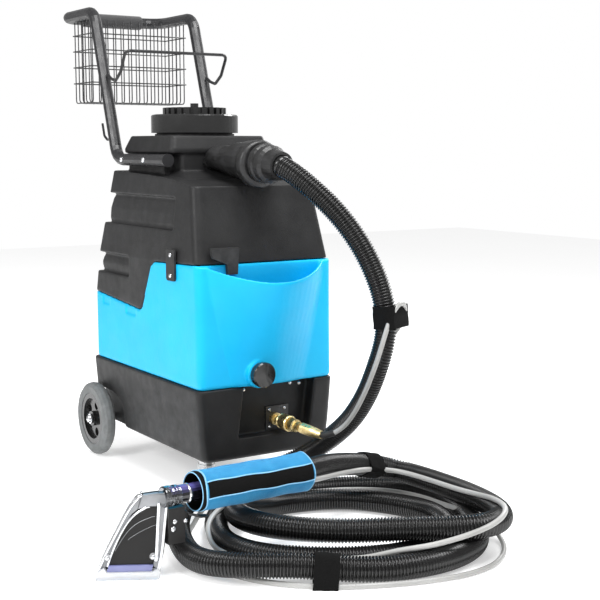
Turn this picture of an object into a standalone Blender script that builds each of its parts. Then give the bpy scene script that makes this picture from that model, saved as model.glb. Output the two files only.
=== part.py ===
"""A portable carpet cleaner: a wheeled base with its motor and pump, a blue solution tank, a black recovery
tank with a screw lid, a tube handle with a wire basket, and its vacuum hose, solution hose and hand tool.
Metres, +Z up. The machine's front faces -Y and the floor is z = 0."""

import math

import bmesh
import bpy
from mathutils import Matrix, Vector

# Driving dimensions
FRONT = -0.3662                 # Y of the base's front face
BASE_LENGTH = 0.5530
BASE_HALF_WIDTH = 0.1718
BASE_BOTTOM = 0.080
BASE_TOP = 0.2395
CREASE_FRONT = 0.125            # height of the crease along the base's sides, at the front
CREASE_SLOPE = 0.081            # rise of that crease towards the rear
GAP = 0.0004                    # clearance between touching pieces

WHEEL_RADIUS = 0.0892
WHEEL_WIDTH = 0.030
WHEEL_OUTER_FACE = 0.201
AXLE_Y = FRONT + 0.5086
AXLE_RADIUS = 0.008
HUB_RADIUS = 0.0625

CASTER_X = 0.125
CASTER_Y = FRONT + 0.055
CASTER_RADIUS = 0.025
CASTER_TRAIL = 0.020

TANK_HALF_WIDTH = 0.1688
TANK_CORNER = 0.0160
SOLUTION_TOP = 0.5055           # the solution tank's side walls, at the front
MOUTH_POINTS = 18                # points along the bulging front
MOUTH_WALL_BOTTOM = 0.400        # water runs from the mouth into the tank below this
TANK_WALL = 0.006

NECK_HALF_WIDTH = 0.1205         # where the handle's arms are bolted on
NECK_FRONT_HALF_WIDTH = 0.1000
NECK_FRONT = FRONT + 0.205
HAT_HALF_WIDTH = 0.1280
HAT_BOTTOM = 0.7375
HAT_TOP = 0.7770
LID_Y = FRONT + 0.328
LID_RADIUS = 0.1015
CROWN_RADIUS = 0.0740            # the ring of finger ribs on the lid
CROWN_ROOT = 0.0670
COLLAR_RADIUS = 0.0890

TUBE_RADIUS = 0.014
HANDLE_X = 0.135
ARM_Z = 0.722
HANDLE_TOP = 1.078
HANDLE_REAR = FRONT + 0.780

BASKET_HALF_WIDTH = 0.1285
BASKET_FRONT = FRONT + 0.620
BASKET_REAR = FRONT + 0.730
BASKET_BOTTOM = 0.860
BASKET_TOP = HANDLE_TOP - TUBE_RADIUS - GAP
BASKET_WIRE = 0.003

PORT_Z = 0.7175
PORT_BORE = 0.0300
PORT_DROP = 0.006                # fall of the cuff's axis over its own length
INLET = (0.0380, 0.0155)         # half width and half height of the hole in the neck
INLET_Z = 0.7170
CUFF_END = (0.0040, FRONT - 0.0506, PORT_Z - PORT_DROP)

FITTING_PLACE = (0.0320, 0.1540)  # X and Z of the brass fitting
DRAIN_PLACE = (-0.0350, FRONT - 0.0260, 0.2690)
MOTOR_PLACE = (0.0400, FRONT + 0.3400)
AIR_PIPE_RADIUS = 0.0225
ROCKER_X = (0.0, 0.0425, 0.0850)
ROCKER_TILT = 0.105              # slope at which a rocker rests

VACUUM_HOSE_RADIUS = 0.023
SOLUTION_HOSE_RADIUS = 0.0050
COIL_CENTRE = (-0.030, FRONT - 0.380)
COIL_OUTER = 0.335
COIL_INNER = 0.180
COIL_HEIGHT = 0.100

HEAD_TURN = math.radians(-29)    # the tool's head against the machine's front
HEAD_RIGHT = -0.0045             # the head's right edge, along the head from its corner by the tube

BLACK_PLASTIC = ((0.018, 0.018, 0.019), 0.62, 0.0)
GLOSS_BLACK = ((0.010, 0.010, 0.010), 0.22, 0.0)
BLUE_PLASTIC = ((0.030, 0.480, 0.930), 0.42, 0.0)
BLACK_STEEL = ((0.015, 0.015, 0.016), 0.35, 0.6)
BRIGHT_STEEL = ((0.780, 0.780, 0.780), 0.22, 1.0)
BRASS = ((0.800, 0.560, 0.180), 0.28, 1.0)
BLACK_RUBBER = ((0.020, 0.020, 0.020), 0.75, 0.0)
GREY_RUBBER = ((0.230, 0.240, 0.245), 0.75, 0.0)
GREY_HOSE = ((0.420, 0.420, 0.415), 0.45, 0.0)
CLEAR_PLASTIC = ((0.800, 0.820, 0.850), 0.08, 0.0)
BLUE_FABRIC = ((0.040, 0.330, 0.640), 0.85, 0.0)
RED_PLASTIC = ((0.550, 0.020, 0.015), 0.40, 0.0)

FULL_TURN = 2 * math.pi


# ---------------------------------------------------------------- scene and helpers

def clear_scene():
    for obj in list(bpy.data.objects):
        bpy.data.objects.remove(obj)


def new_collection(name):
    collection = bpy.data.collections.new(name)
    bpy.context.scene.collection.children.link(collection)
    return collection


def new_material(name, finish):
    colour, roughness, metallic = finish
    material = bpy.data.materials.new(name)
    material.use_nodes = True
    shader = material.node_tree.nodes["Principled BSDF"]
    shader.inputs["Base Color"].default_value = (*colour, 1.0)
    shader.inputs["Roughness"].default_value = roughness
    shader.inputs["Metallic"].default_value = metallic
    return material


def keep_as_part(obj, finish, smooth=True):
    """Puts a finished object in the machine's collection with its own material."""
    for collection in list(obj.users_collection):
        collection.objects.unlink(obj)
    parts.objects.link(obj)
    obj.data.materials.clear()
    obj.data.materials.append(new_material(obj.name + "_material", finish))
    if smooth:
        obj.data.shade_smooth()
        obj.data.set_sharp_from_angle(angle=math.radians(35))
    return obj


def keep_as_cutter(obj):
    """Hides an object that only shapes others."""
    for collection in list(obj.users_collection):
        collection.objects.unlink(obj)
    cutters.objects.link(obj)
    obj.hide_render = True
    obj.display_type = "WIRE"
    return obj


def object_from(name, shape):
    """An object holding a bmesh's faces, all turned to point outwards."""
    shape.normal_update()
    bmesh.ops.recalc_face_normals(shape, faces=shape.faces)
    mesh = bpy.data.meshes.new(name)
    shape.to_mesh(mesh)
    shape.free()
    obj = bpy.data.objects.new(name, mesh)
    bpy.context.scene.collection.objects.link(obj)
    return obj


def box(name, low, high):
    low, high = Vector(low), Vector(high)
    shape = bmesh.new()
    bmesh.ops.create_cube(shape, size=1)
    size = Matrix.Diagonal((*(high - low), 1.0))
    shape.transform(Matrix.Translation((low + high) / 2) @ size)
    return object_from(name, shape)


def towards(axis):
    """The rotation that turns +Z to an axis."""
    return Vector((0, 0, 1)).rotation_difference(Vector(axis)).to_matrix().to_4x4()


def cylinder(name, centre, axis, radius, length, segments=24):
    shape = bmesh.new()
    bmesh.ops.create_cone(
        shape, cap_ends=True, segments=segments, radius1=radius, radius2=radius, depth=length
    )
    shape.transform(Matrix.Translation(centre) @ towards(axis))
    return object_from(name, shape)


def turned(name, profile, centre, axis, segments=32):
    """A closed outline of (radius, height) points turned round an axis through the centre."""
    curve = bpy.data.meshes.new(name + "_profile")
    count = len(profile)
    edges = [(i, (i + 1) % count) for i in range(count)]
    curve.from_pydata([(r, 0, h) for r, h in profile], edges, [])
    obj = bpy.data.objects.new(name, curve)
    bpy.context.scene.collection.objects.link(obj)
    screw = obj.modifiers.new("turn", "SCREW")
    screw.axis = "Z"
    screw.angle = FULL_TURN
    screw.steps = segments
    screw.render_steps = segments
    screw.use_merge_vertices = True
    screw.merge_threshold = 0.00005
    made = applied(obj)
    shape = bmesh.new()
    shape.from_mesh(made.data)
    bmesh.ops.remove_doubles(shape, verts=shape.verts, dist=0.000001)
    loose = [v for v in shape.verts if not v.link_faces]
    bmesh.ops.delete(shape, geom=loose, context="VERTS")
    wires = [e for e in shape.edges if not e.link_faces]
    bmesh.ops.delete(shape, geom=wires, context="EDGES")
    shape.transform(Matrix.Translation(centre) @ towards(axis))
    bpy.data.objects.remove(made)
    return object_from(name, shape)


def applied(obj):
    """The object as its modifiers leave it, with the modifiers gone."""
    bpy.context.view_layer.update()
    graph = bpy.context.evaluated_depsgraph_get()
    mesh = bpy.data.meshes.new_from_object(obj.evaluated_get(graph))
    name = obj.name
    made = bpy.data.objects.new(name + "_made", mesh)
    made.matrix_world = obj.matrix_world
    bpy.context.scene.collection.objects.link(made)
    bpy.data.objects.remove(obj)
    made.name = name
    return made


def prism(name, outline, axis, low, high, holes=()):
    """A flat outline, with any holes in it, made thick along X, Y or Z from low to high."""
    curve = bpy.data.curves.new(name, "CURVE")
    curve.dimensions = "2D"
    curve.fill_mode = "BOTH"
    curve.extrude = (high - low) / 2
    for loop in (outline, *holes):
        spline = curve.splines.new("POLY")
        spline.points.add(len(loop) - 1)
        spline.use_cyclic_u = True
        for point, (u, v) in zip(spline.points, loop):
            point.co = (u, v, 0, 1)
    flat = bpy.data.objects.new(name, curve)
    bpy.context.scene.collection.objects.link(flat)
    made = applied(flat)
    shape = bmesh.new()
    shape.from_mesh(made.data)
    bpy.data.objects.remove(made)
    bmesh.ops.remove_doubles(shape, verts=shape.verts, dist=0.000001)
    middle = (low + high) / 2
    # The outline's (u, v) is (Y, Z) for a prism along X, (X, Z) along Y and (X, Y) along Z.
    placing = {
        "X": Matrix(((0, 0, 1, middle), (1, 0, 0, 0), (0, 1, 0, 0), (0, 0, 0, 1))),
        "Y": Matrix(((1, 0, 0, 0), (0, 0, -1, middle), (0, 1, 0, 0), (0, 0, 0, 1))),
        "Z": Matrix.Translation((0, 0, middle)),
    }
    shape.transform(placing[axis])
    return object_from(name, shape)


def loft(name, rings):
    """A closed body through rings of points, each ring with the same number of points."""
    shape = bmesh.new()
    made = [[shape.verts.new(point) for point in ring] for ring in rings]
    for lower, upper in zip(made, made[1:]):
        for i in range(len(lower)):
            j = (i + 1) % len(lower)
            shape.faces.new((lower[i], lower[j], upper[j], upper[i]))
    shape.faces.new(list(reversed(made[0])))
    shape.faces.new(made[-1])
    return object_from(name, shape)


def swept(name, points, radius, resolution=3):
    """A round tube along a list of points, as a closed mesh."""
    curve = bpy.data.curves.new(name, "CURVE")
    curve.dimensions = "3D"
    curve.bevel_depth = radius
    curve.bevel_resolution = resolution
    curve.use_fill_caps = True
    spline = curve.splines.new("POLY")
    spline.points.add(len(points) - 1)
    for place, point in zip(spline.points, points):
        place.co = (*point, 1)
    obj = bpy.data.objects.new(name, curve)
    bpy.context.scene.collection.objects.link(obj)
    made = applied(obj)
    shape = bmesh.new()
    shape.from_mesh(made.data)
    bpy.data.objects.remove(made)
    bmesh.ops.remove_doubles(shape, verts=shape.verts, dist=0.00001)
    return object_from(name, shape)


def combine(obj, other, operation):
    """Cuts another object from this one, or joins it on."""
    modifier = obj.modifiers.new(operation.lower(), "BOOLEAN")
    modifier.operation = operation
    modifier.object = other
    modifier.solver = "EXACT"
    keep_as_cutter(other)
    return obj


def cut(obj, *others):
    for other in others:
        combine(obj, other, "DIFFERENCE")
    return obj


def join(obj, *others):
    for other in others:
        combine(obj, other, "UNION")
    return obj


def filleted(corners, radius, steps=5):
    """A path through corner points whose inner corners are rounded."""
    path = [Vector(corners[0])]
    for before, corner, after in zip(corners, corners[1:], corners[2:]):
        before, corner, after = Vector(before), Vector(corner), Vector(after)
        back = (before - corner).normalized()
        ahead = (after - corner).normalized()
        half_angle = back.angle(ahead) / 2
        reach = radius / math.tan(half_angle)
        start = corner + back * reach
        end = corner + ahead * reach
        centre = corner + (back + ahead).normalized() * (radius / math.sin(half_angle))
        first = start - centre
        sweep = math.pi - 2 * half_angle
        normal = first.cross(end - centre).normalized()
        for k in range(steps + 1):
            turn = Matrix.Rotation(sweep * k / steps, 3, normal)
            path.append(centre + turn @ first)
    path.append(Vector(corners[-1]))
    return path


def smooth_path(points, count):
    """Points at even spacing along a smooth curve through the given points."""
    points = [Vector(p) for p in points]
    padded = [2 * points[0] - points[1], *points, 2 * points[-1] - points[-2]]
    fine = []
    pieces = 24
    for a, b, c, d in zip(padded, padded[1:], padded[2:], padded[3:]):
        for k in range(pieces):
            t = k / pieces
            bend = (2 * a - 5 * b + 4 * c - d) * t * t
            twist = (3 * b - a - 3 * c + d) * t ** 3
            fine.append((2 * b + (c - a) * t + bend + twist) / 2)
    fine.append(points[-1])
    lengths = [0.0]
    for a, b in zip(fine, fine[1:]):
        lengths.append(lengths[-1] + (b - a).length)
    path = []
    index = 0
    for k in range(count):
        target = lengths[-1] * k / (count - 1)
        while index < len(lengths) - 2 and lengths[index + 1] < target:
            index += 1
        span = lengths[index + 1] - lengths[index]
        path.append(fine[index].lerp(fine[index + 1], (target - lengths[index]) / span))
    return path


def rounded_plan(half_width, front, rear, corner, bulge=0.0, height=0.0, bulge_half=0.0, front_points=8):
    """A rectangle seen from above with round corners. Its front can bulge towards -Y between two creases."""
    ring = []
    corner_steps = 4
    inner = half_width - corner
    crease = bulge_half or inner * (1 - 2 / front_points)

    def arc(cx, cy, start):
        for k in range(corner_steps + 1):
            angle = start + math.pi / 2 * k / corner_steps
            ring.append((cx + corner * math.cos(angle), cy + corner * math.sin(angle), height))

    arc(inner, rear - corner, 0)
    arc(-inner, rear - corner, math.pi / 2)
    arc(-inner, front + corner, math.pi)
    for k in range(front_points - 1):
        share = 2 * k / (front_points - 2) - 1
        ring.append((crease * share, front - bulge * (1 - share ** 2), height))
    arc(inner, front + corner, 3 * math.pi / 2)
    return ring


def oval(half_x, half_z, y, z, count=24):
    return [(half_x * u, y, z + half_z * v) for u, v in circle(1.0, count)]


def circle(radius, count, start=0.0):
    step = FULL_TURN / count
    return [(radius * math.cos(start + k * step), radius * math.sin(start + k * step)) for k in range(count)]


# ---------------------------------------------------------------- base

def crease_height(y):
    return CREASE_FRONT + CREASE_SLOPE * (y - FRONT)


def make_base_pan():
    """The black moulded pan: front recess, wheel wells, a cavity for the works and a bore for the axle."""
    rear = FRONT + BASE_LENGTH
    levels = (
        (BASE_BOTTOM, 0.150, 0.010, 0.012),
        (BASE_BOTTOM + 0.006, 0.157, 0.003, 0.005),
        (0.140, 0.164, 0.001, 0.0),
        (BASE_TOP - 0.002, BASE_HALF_WIDTH, 0.0, 0.0),
        (BASE_TOP, BASE_HALF_WIDTH - 0.002, 0.002, 0.002),
    )
    rings = [rounded_plan(w, FRONT + f, rear - r, 0.016, height=z) for z, w, f, r in levels]
    pan = loft("base_pan", rings)
    well_front = FRONT + 0.405
    well = [
        (well_front, 0.0),
        (rear + 0.05, 0.0),
        (rear + 0.05, crease_height(rear)),
        (well_front + 0.02, crease_height(well_front)),
        (well_front, crease_height(well_front) - 0.02),
    ]
    for side, low in (("left", -0.25), ("right", 0.142)):
        cut(pan, prism("wheel_well_" + side, well, "X", low, low + 0.108))
    recess = [(-0.075, 0.126), (0.106, 0.126), (0.124, 0.260), (-0.058, 0.260)]
    cut(pan, prism("front_recess", recess, "Y", FRONT - 0.05, FRONT + 0.032))
    cut(pan, box("works_cavity", (-0.130, FRONT + 0.048, 0.088), (0.130, FRONT + 0.470, 0.300)))
    cut(pan, cylinder("axle_bore", (0, AXLE_Y, WHEEL_RADIUS), (1, 0, 0), AXLE_RADIUS + 0.0005, 0.5))
    keep_as_part(pan, BLACK_PLASTIC)


def make_fitting():
    """The fitting plate in the recess, and the brass bulkhead fitting that stands through it."""
    face = FRONT + 0.0315
    x, z = FITTING_PLACE
    outline = [(x - 0.021, z - 0.027), (x + 0.037, z - 0.027), (x + 0.037, z + 0.028), (x - 0.021, z + 0.028)]
    plate = prism("fitting_plate", outline, "Y", face - 0.0025, face)
    keep_as_part(plate, BLACK_STEEL)
    profile = [(0.0, 0.0), (0.0140, 0.0), (0.0140, 0.010), (0.0095, 0.011), (0.0095, 0.034), (0.0, 0.034)]
    fitting = turned("bulkhead_fitting", profile, (x, face - 0.0029, z), (0, -1, 0), 12)
    keep_as_part(fitting, BRASS)


def make_wheel(side, sign):
    """A grey tyre on a black spoked hub, held on the axle by an acorn nut."""
    inner_face = WHEEL_OUTER_FACE - WHEEL_WIDTH
    centre = (sign * inner_face, AXLE_Y, WHEEL_RADIUS)
    axis = (sign, 0, 0)
    r, w = WHEEL_RADIUS, WHEEL_WIDTH
    tyre = [
        (HUB_RADIUS + GAP, 0.002), (r - 0.009, 0.0), (r - 0.002, 0.006), (r, w / 2),
        (r - 0.002, w - 0.006), (r - 0.009, w), (HUB_RADIUS + GAP, w - 0.002),
    ]
    keep_as_part(turned("tyre_" + side, tyre, centre, axis, 40), GREY_RUBBER)
    bore = AXLE_RADIUS + 0.0006
    hub = [
        (bore, -0.001), (0.018, -0.001), (0.018, 0.007), (0.050, 0.007), (0.050, 0.003), (HUB_RADIUS, 0.003),
        (HUB_RADIUS, w - 0.003), (0.050, w - 0.003), (0.050, 0.019), (0.018, 0.019), (0.018, w - 0.002),
        (bore, w - 0.002),
    ]
    body = turned("hub_" + side, hub, centre, axis, 40)
    for k in range(5):
        angle = FULL_TURN * (k + 0.5) / 5
        place = (sign * inner_face, AXLE_Y + 0.034 * math.cos(angle), WHEEL_RADIUS + 0.034 * math.sin(angle))
        cut(body, cylinder("hub_hole_%s_%d" % (side, k), place, axis, 0.0105, 0.2, 12))
    keep_as_part(body, BLACK_PLASTIC)
    nut_x = sign * (WHEEL_OUTER_FACE + 0.0005)
    nut = [(0.0, 0.0), (0.0125, 0.0), (0.0125, 0.002), (0.0095, 0.0025), (0.0085, 0.007), (0.0, 0.0115)]
    keep_as_part(turned("axle_nut_" + side, nut, (nut_x, AXLE_Y, WHEEL_RADIUS), axis, 12), BRIGHT_STEEL)


def make_axle():
    length = 2 * (WHEEL_OUTER_FACE - GAP)
    keep_as_part(cylinder("axle", (0, AXLE_Y, WHEEL_RADIUS), (1, 0, 0), AXLE_RADIUS, length, 20), BRIGHT_STEEL)


def make_caster(side, sign):
    """A swivel caster: a plate under the base, a fork that turns, and a small wheel that trails behind."""
    x, y = sign * CASTER_X, CASTER_Y
    plate_top = BASE_BOTTOM - GAP
    low, high = (x - 0.019, y - 0.024, plate_top - 0.003), (x + 0.019, y + 0.024, plate_top)
    plate = box("caster_plate_" + side, low, high)
    join(plate, cylinder("caster_race_" + side, (x, y, plate_top - 0.0065), (0, 0, 1), 0.017, 0.009))
    keep_as_part(plate, BRIGHT_STEEL)
    fork_top = plate_top - 0.0115
    wheel_y = y + CASTER_TRAIL
    side_plate = [(y - 0.014, fork_top), (y + 0.016, fork_top), (wheel_y + 0.008, 0.020), (wheel_y - 0.006, 0.018)]
    fork = cylinder("caster_fork_" + side, (x, y, fork_top - 0.0015), (0, 0, 1), 0.018, 0.003)
    for name, low in (("inner", -0.0135), ("outer", 0.0115)):
        label = "fork_%s_%s" % (name, side)
        join(fork, prism(label, side_plate, "X", x + low, x + low + 0.002))
    join(fork, cylinder("caster_pin_" + side, (x, wheel_y, CASTER_RADIUS), (1, 0, 0), 0.003, 0.0275, 12))
    keep_as_part(fork, BRIGHT_STEEL)
    half = 0.0095
    profile = [
        (0.0036, -half), (0.012, -half), (CASTER_RADIUS - 0.003, -half), (CASTER_RADIUS, -half + 0.003),
        (CASTER_RADIUS, half - 0.003), (CASTER_RADIUS - 0.003, half), (0.0036, half),
    ]
    wheel = turned("caster_wheel_" + side, profile, (x, wheel_y, CASTER_RADIUS), (1, 0, 0), 24)
    keep_as_part(wheel, BLACK_RUBBER)


def make_works():
    """What the base holds: the two-stage vacuum motor with its fan, the solution pump and the heater."""
    centre = (*MOTOR_PLACE, 0.0885)
    motor = [
        (0.0, 0.0), (0.072, 0.0), (0.072, 0.062), (0.048, 0.064), (0.048, 0.120), (0.020, 0.122),
        (0.020, 0.112),
        (0.0, 0.112),
    ]
    housing = turned("vacuum_motor", motor, centre, (0, 0, 1), 28)
    x, y, z = centre
    cut(housing, cylinder("fan_chamber", (x, y, z + 0.030), (0, 0, 1), 0.064, 0.028, 28))
    cut(housing, box("fan_outlet", (x - 0.012, y, z + 0.020), (x + 0.012, y + 0.100, z + 0.040)))
    keep_as_part(housing, BLACK_PLASTIC)
    fan = cylinder("motor_fan", (x, y, z + 0.0200), (0, 0, 1), 0.060, 0.003, 24)
    join(fan, cylinder("fan_hub", (x, y, z + 0.0290), (0, 0, 1), 0.014, 0.020, 16))
    for k in range(6):
        blade = box("fan_blade_%d" % k, (0.012, -0.001, 0.0), (0.058, 0.001, 0.018))
        turn = Matrix.Rotation(FULL_TURN * k / 6, 4, "Z")
        blade.data.transform(Matrix.Translation((x, y, z + 0.021)) @ turn)
        join(fan, blade)
    keep_as_part(fan, BRIGHT_STEEL)
    y = FRONT + 0.125
    pump = box("pump", (-0.090, y - 0.028, 0.0885), (-0.020, y + 0.028, 0.140))
    join(pump, cylinder("pump_motor", (0.018, y, 0.116), (1, 0, 0), 0.026, 0.090, 20))
    join(pump, cylinder("pump_inlet", (-0.070, y, 0.150), (0, 0, 1), 0.009, 0.030, 12))
    keep_as_part(pump, BLACK_PLASTIC)
    heater = box("heater", (-0.115, FRONT + 0.200, 0.0885), (-0.065, FRONT + 0.340, 0.150))
    join(heater, cylinder("heater_pipe", (-0.090, FRONT + 0.270, 0.165), (0, 0, 1), 0.008, 0.040, 12))
    keep_as_part(heater, BRIGHT_STEEL)


def make_switches():
    """On the base's rear face: a plate with three rocker switches, and the power inlet."""
    rear = FRONT + BASE_LENGTH
    low, high = 0.176, 0.226
    plate_holes = []
    for k in range(3):
        x = ROCKER_X[k]
        plate_holes.append([(x - 0.012, 0.187), (x - 0.012, 0.215), (x + 0.012, 0.215), (x + 0.012, 0.187)])
    outline = [(-0.030, low), (0.115, low), (0.115, high), (-0.030, high)]
    plate = prism("switch_plate", outline, "Y", rear + 0.0010, rear + 0.0070, plate_holes)
    keep_as_part(plate, BLACK_STEEL)
    for k in range(3):
        x = ROCKER_X[k]
        outline = []
        for out, up in ((-0.0020, -0.0120), (-0.0020, 0.0120), (0.0045, 0.0120), (0.0010, 0.0), (0.0045, -0.0120)):
            outline.append((rear + 0.0050 + out - up * ROCKER_TILT, 0.201 + up + out * ROCKER_TILT))
        keep_as_part(prism("rocker_%d" % (k + 1), outline, "X", x - 0.0110, x + 0.0110), RED_PLASTIC)
    profile = [(0.0, 0.0), (0.024, 0.0), (0.024, 0.008), (0.019, 0.012), (0.019, 0.006), (0.0, 0.006)]
    inlet = turned("power_inlet", profile, (-0.080, rear + 0.0010, 0.201), (0, 1, 0), 20)
    keep_as_part(inlet, BLACK_PLASTIC)


# ---------------------------------------------------------------- tanks

def tank_line(offset):
    """The stepped line between the tanks, seen from the side, as (y, z) points moved up or down by an offset."""
    points = (
        (-0.150, SOLUTION_TOP), (0.010, SOLUTION_TOP), (0.208, 0.4985), (0.226, 0.488), (0.258, 0.425),
        (0.276, 0.3900), (0.290, 0.3825), (0.600, 0.4080),
    )
    return [(FRONT + y, z + offset) for y, z in points]


def make_solution_tank():
    """The blue tank: open under the recovery tank and at its pouring mouth, with a drain boss at the front."""
    front, rear = FRONT + 0.0, FRONT + 0.540
    levels = (
        (BASE_TOP + GAP, TANK_HALF_WIDTH - 0.003, 0.004, 0.012, 0.088),
        (BASE_TOP + 0.006, TANK_HALF_WIDTH, 0.0, 0.017, 0.092),
        (0.310, TANK_HALF_WIDTH, 0.001, 0.031, 0.108),
        (0.360, TANK_HALF_WIDTH, 0.002, 0.044, 0.120),
        (0.410, TANK_HALF_WIDTH, 0.003, 0.058, 0.132),
        (0.460, TANK_HALF_WIDTH + 0.001, 0.005, 0.070, 0.143),
        (0.520, TANK_HALF_WIDTH + 0.002, 0.007, 0.079, 0.148),
    )
    rings = [rounded_plan(w, front + f, rear, TANK_CORNER, b, z, h, MOUTH_POINTS) for z, w, f, b, h in levels]
    tank = loft("solution_tank", rings)
    levels = (
        (BASE_TOP + 0.007, 0.012, 0.088), (0.310, 0.028, 0.106), (0.410, 0.055, 0.130), (0.540, 0.080, 0.146),
    )
    width = TANK_HALF_WIDTH - TANK_WALL
    front += TANK_WALL + 0.001
    rear -= TANK_WALL
    corner = TANK_CORNER - 0.005
    rings = [rounded_plan(width, front, rear, corner, b, z, h, MOUTH_POINTS) for z, b, h in levels]
    cavity = loft("solution_cavity", rings)
    low, high = FRONT + 0.0112, FRONT + 0.0175
    cut(tank, cut(cavity, box("mouth_wall", (-0.3, low, MOUTH_WALL_BOTTOM), (0.3, high, 0.7))))
    above = [*tank_line(-GAP), (FRONT + 0.600, 0.700), (FRONT - 0.150, 0.700)]
    cut(tank, prism("above_solution_tank", above, "X", -0.3, 0.3))
    lip = [(FRONT + 0.020, 0.5070), (FRONT + 0.020, 0.7), (FRONT - 0.200, 0.7), (FRONT - 0.200, 0.402)]
    cut(tank, prism("mouth_dip", lip, "X", -0.3, 0.3))
    for front, back, low in ((0.309, 0.363, 0.3640), (0.454, 0.494, 0.3740)):
        for side, near, far in (("left", -0.3, 0.0025 - TANK_HALF_WIDTH), ("right", TANK_HALF_WIDTH - 0.0025, 0.3)):
            cut(tank, box("lifting_notch_" + side, (near, FRONT + front, low), (far, FRONT + back, 0.410)))
    x, y, z = DRAIN_PLACE
    join(tank, cylinder("drain_boss", (x, y + 0.016, z), (0, 1, 0), 0.031, 0.032, 28))
    pipe_hole = cylinder("solution_pipe_hole", (*MOTOR_PLACE, 0.240), (0, 0, 1), AIR_PIPE_RADIUS + 0.0005, 0.1, 20)
    cut(tank, pipe_hole)
    cut(tank, cylinder("drain_hole", (x, y + 0.010, z), (0, 1, 0), 0.016, 0.120, 20))
    keep_as_part(tank, BLUE_PLASTIC)


def make_drain():
    x, y, z = DRAIN_PLACE
    seal = [(0.0185, 0.0), (0.0260, 0.0), (0.0260, 0.003), (0.0185, 0.003)]
    keep_as_part(turned("drain_seal", seal, (x, y - GAP, z), (0, -1, 0), 20), BLACK_RUBBER)
    cap = [
        (0.0, -0.014), (0.0145, -0.014), (0.0145, 0.0038), (0.0265, 0.0038), (0.0275, 0.006), (0.0275, 0.016),
        (0.0250, 0.019), (0.0, 0.0205),
    ]
    keep_as_part(turned("drain_cap", cap, (x, y, z), (0, -1, 0), 28), GLOSS_BLACK)


def recovery_plan(z, inset, corner=TANK_CORNER):
    """The recovery tank's outline at a height: it narrows and leans forward as it rises."""
    share = (z - 0.37) / (0.70 - 0.37)
    half_width = TANK_HALF_WIDTH - 0.0200 * max(0.0, (share - 0.40) / 0.60)
    front = FRONT + 0.012 + 0.050 * max(0.0, (share - 0.40) / 0.60)
    rear = FRONT + 0.550 - 0.082 * share
    return rounded_plan(half_width - inset, front + inset, rear - 2.2 * inset, corner, height=z)


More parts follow.
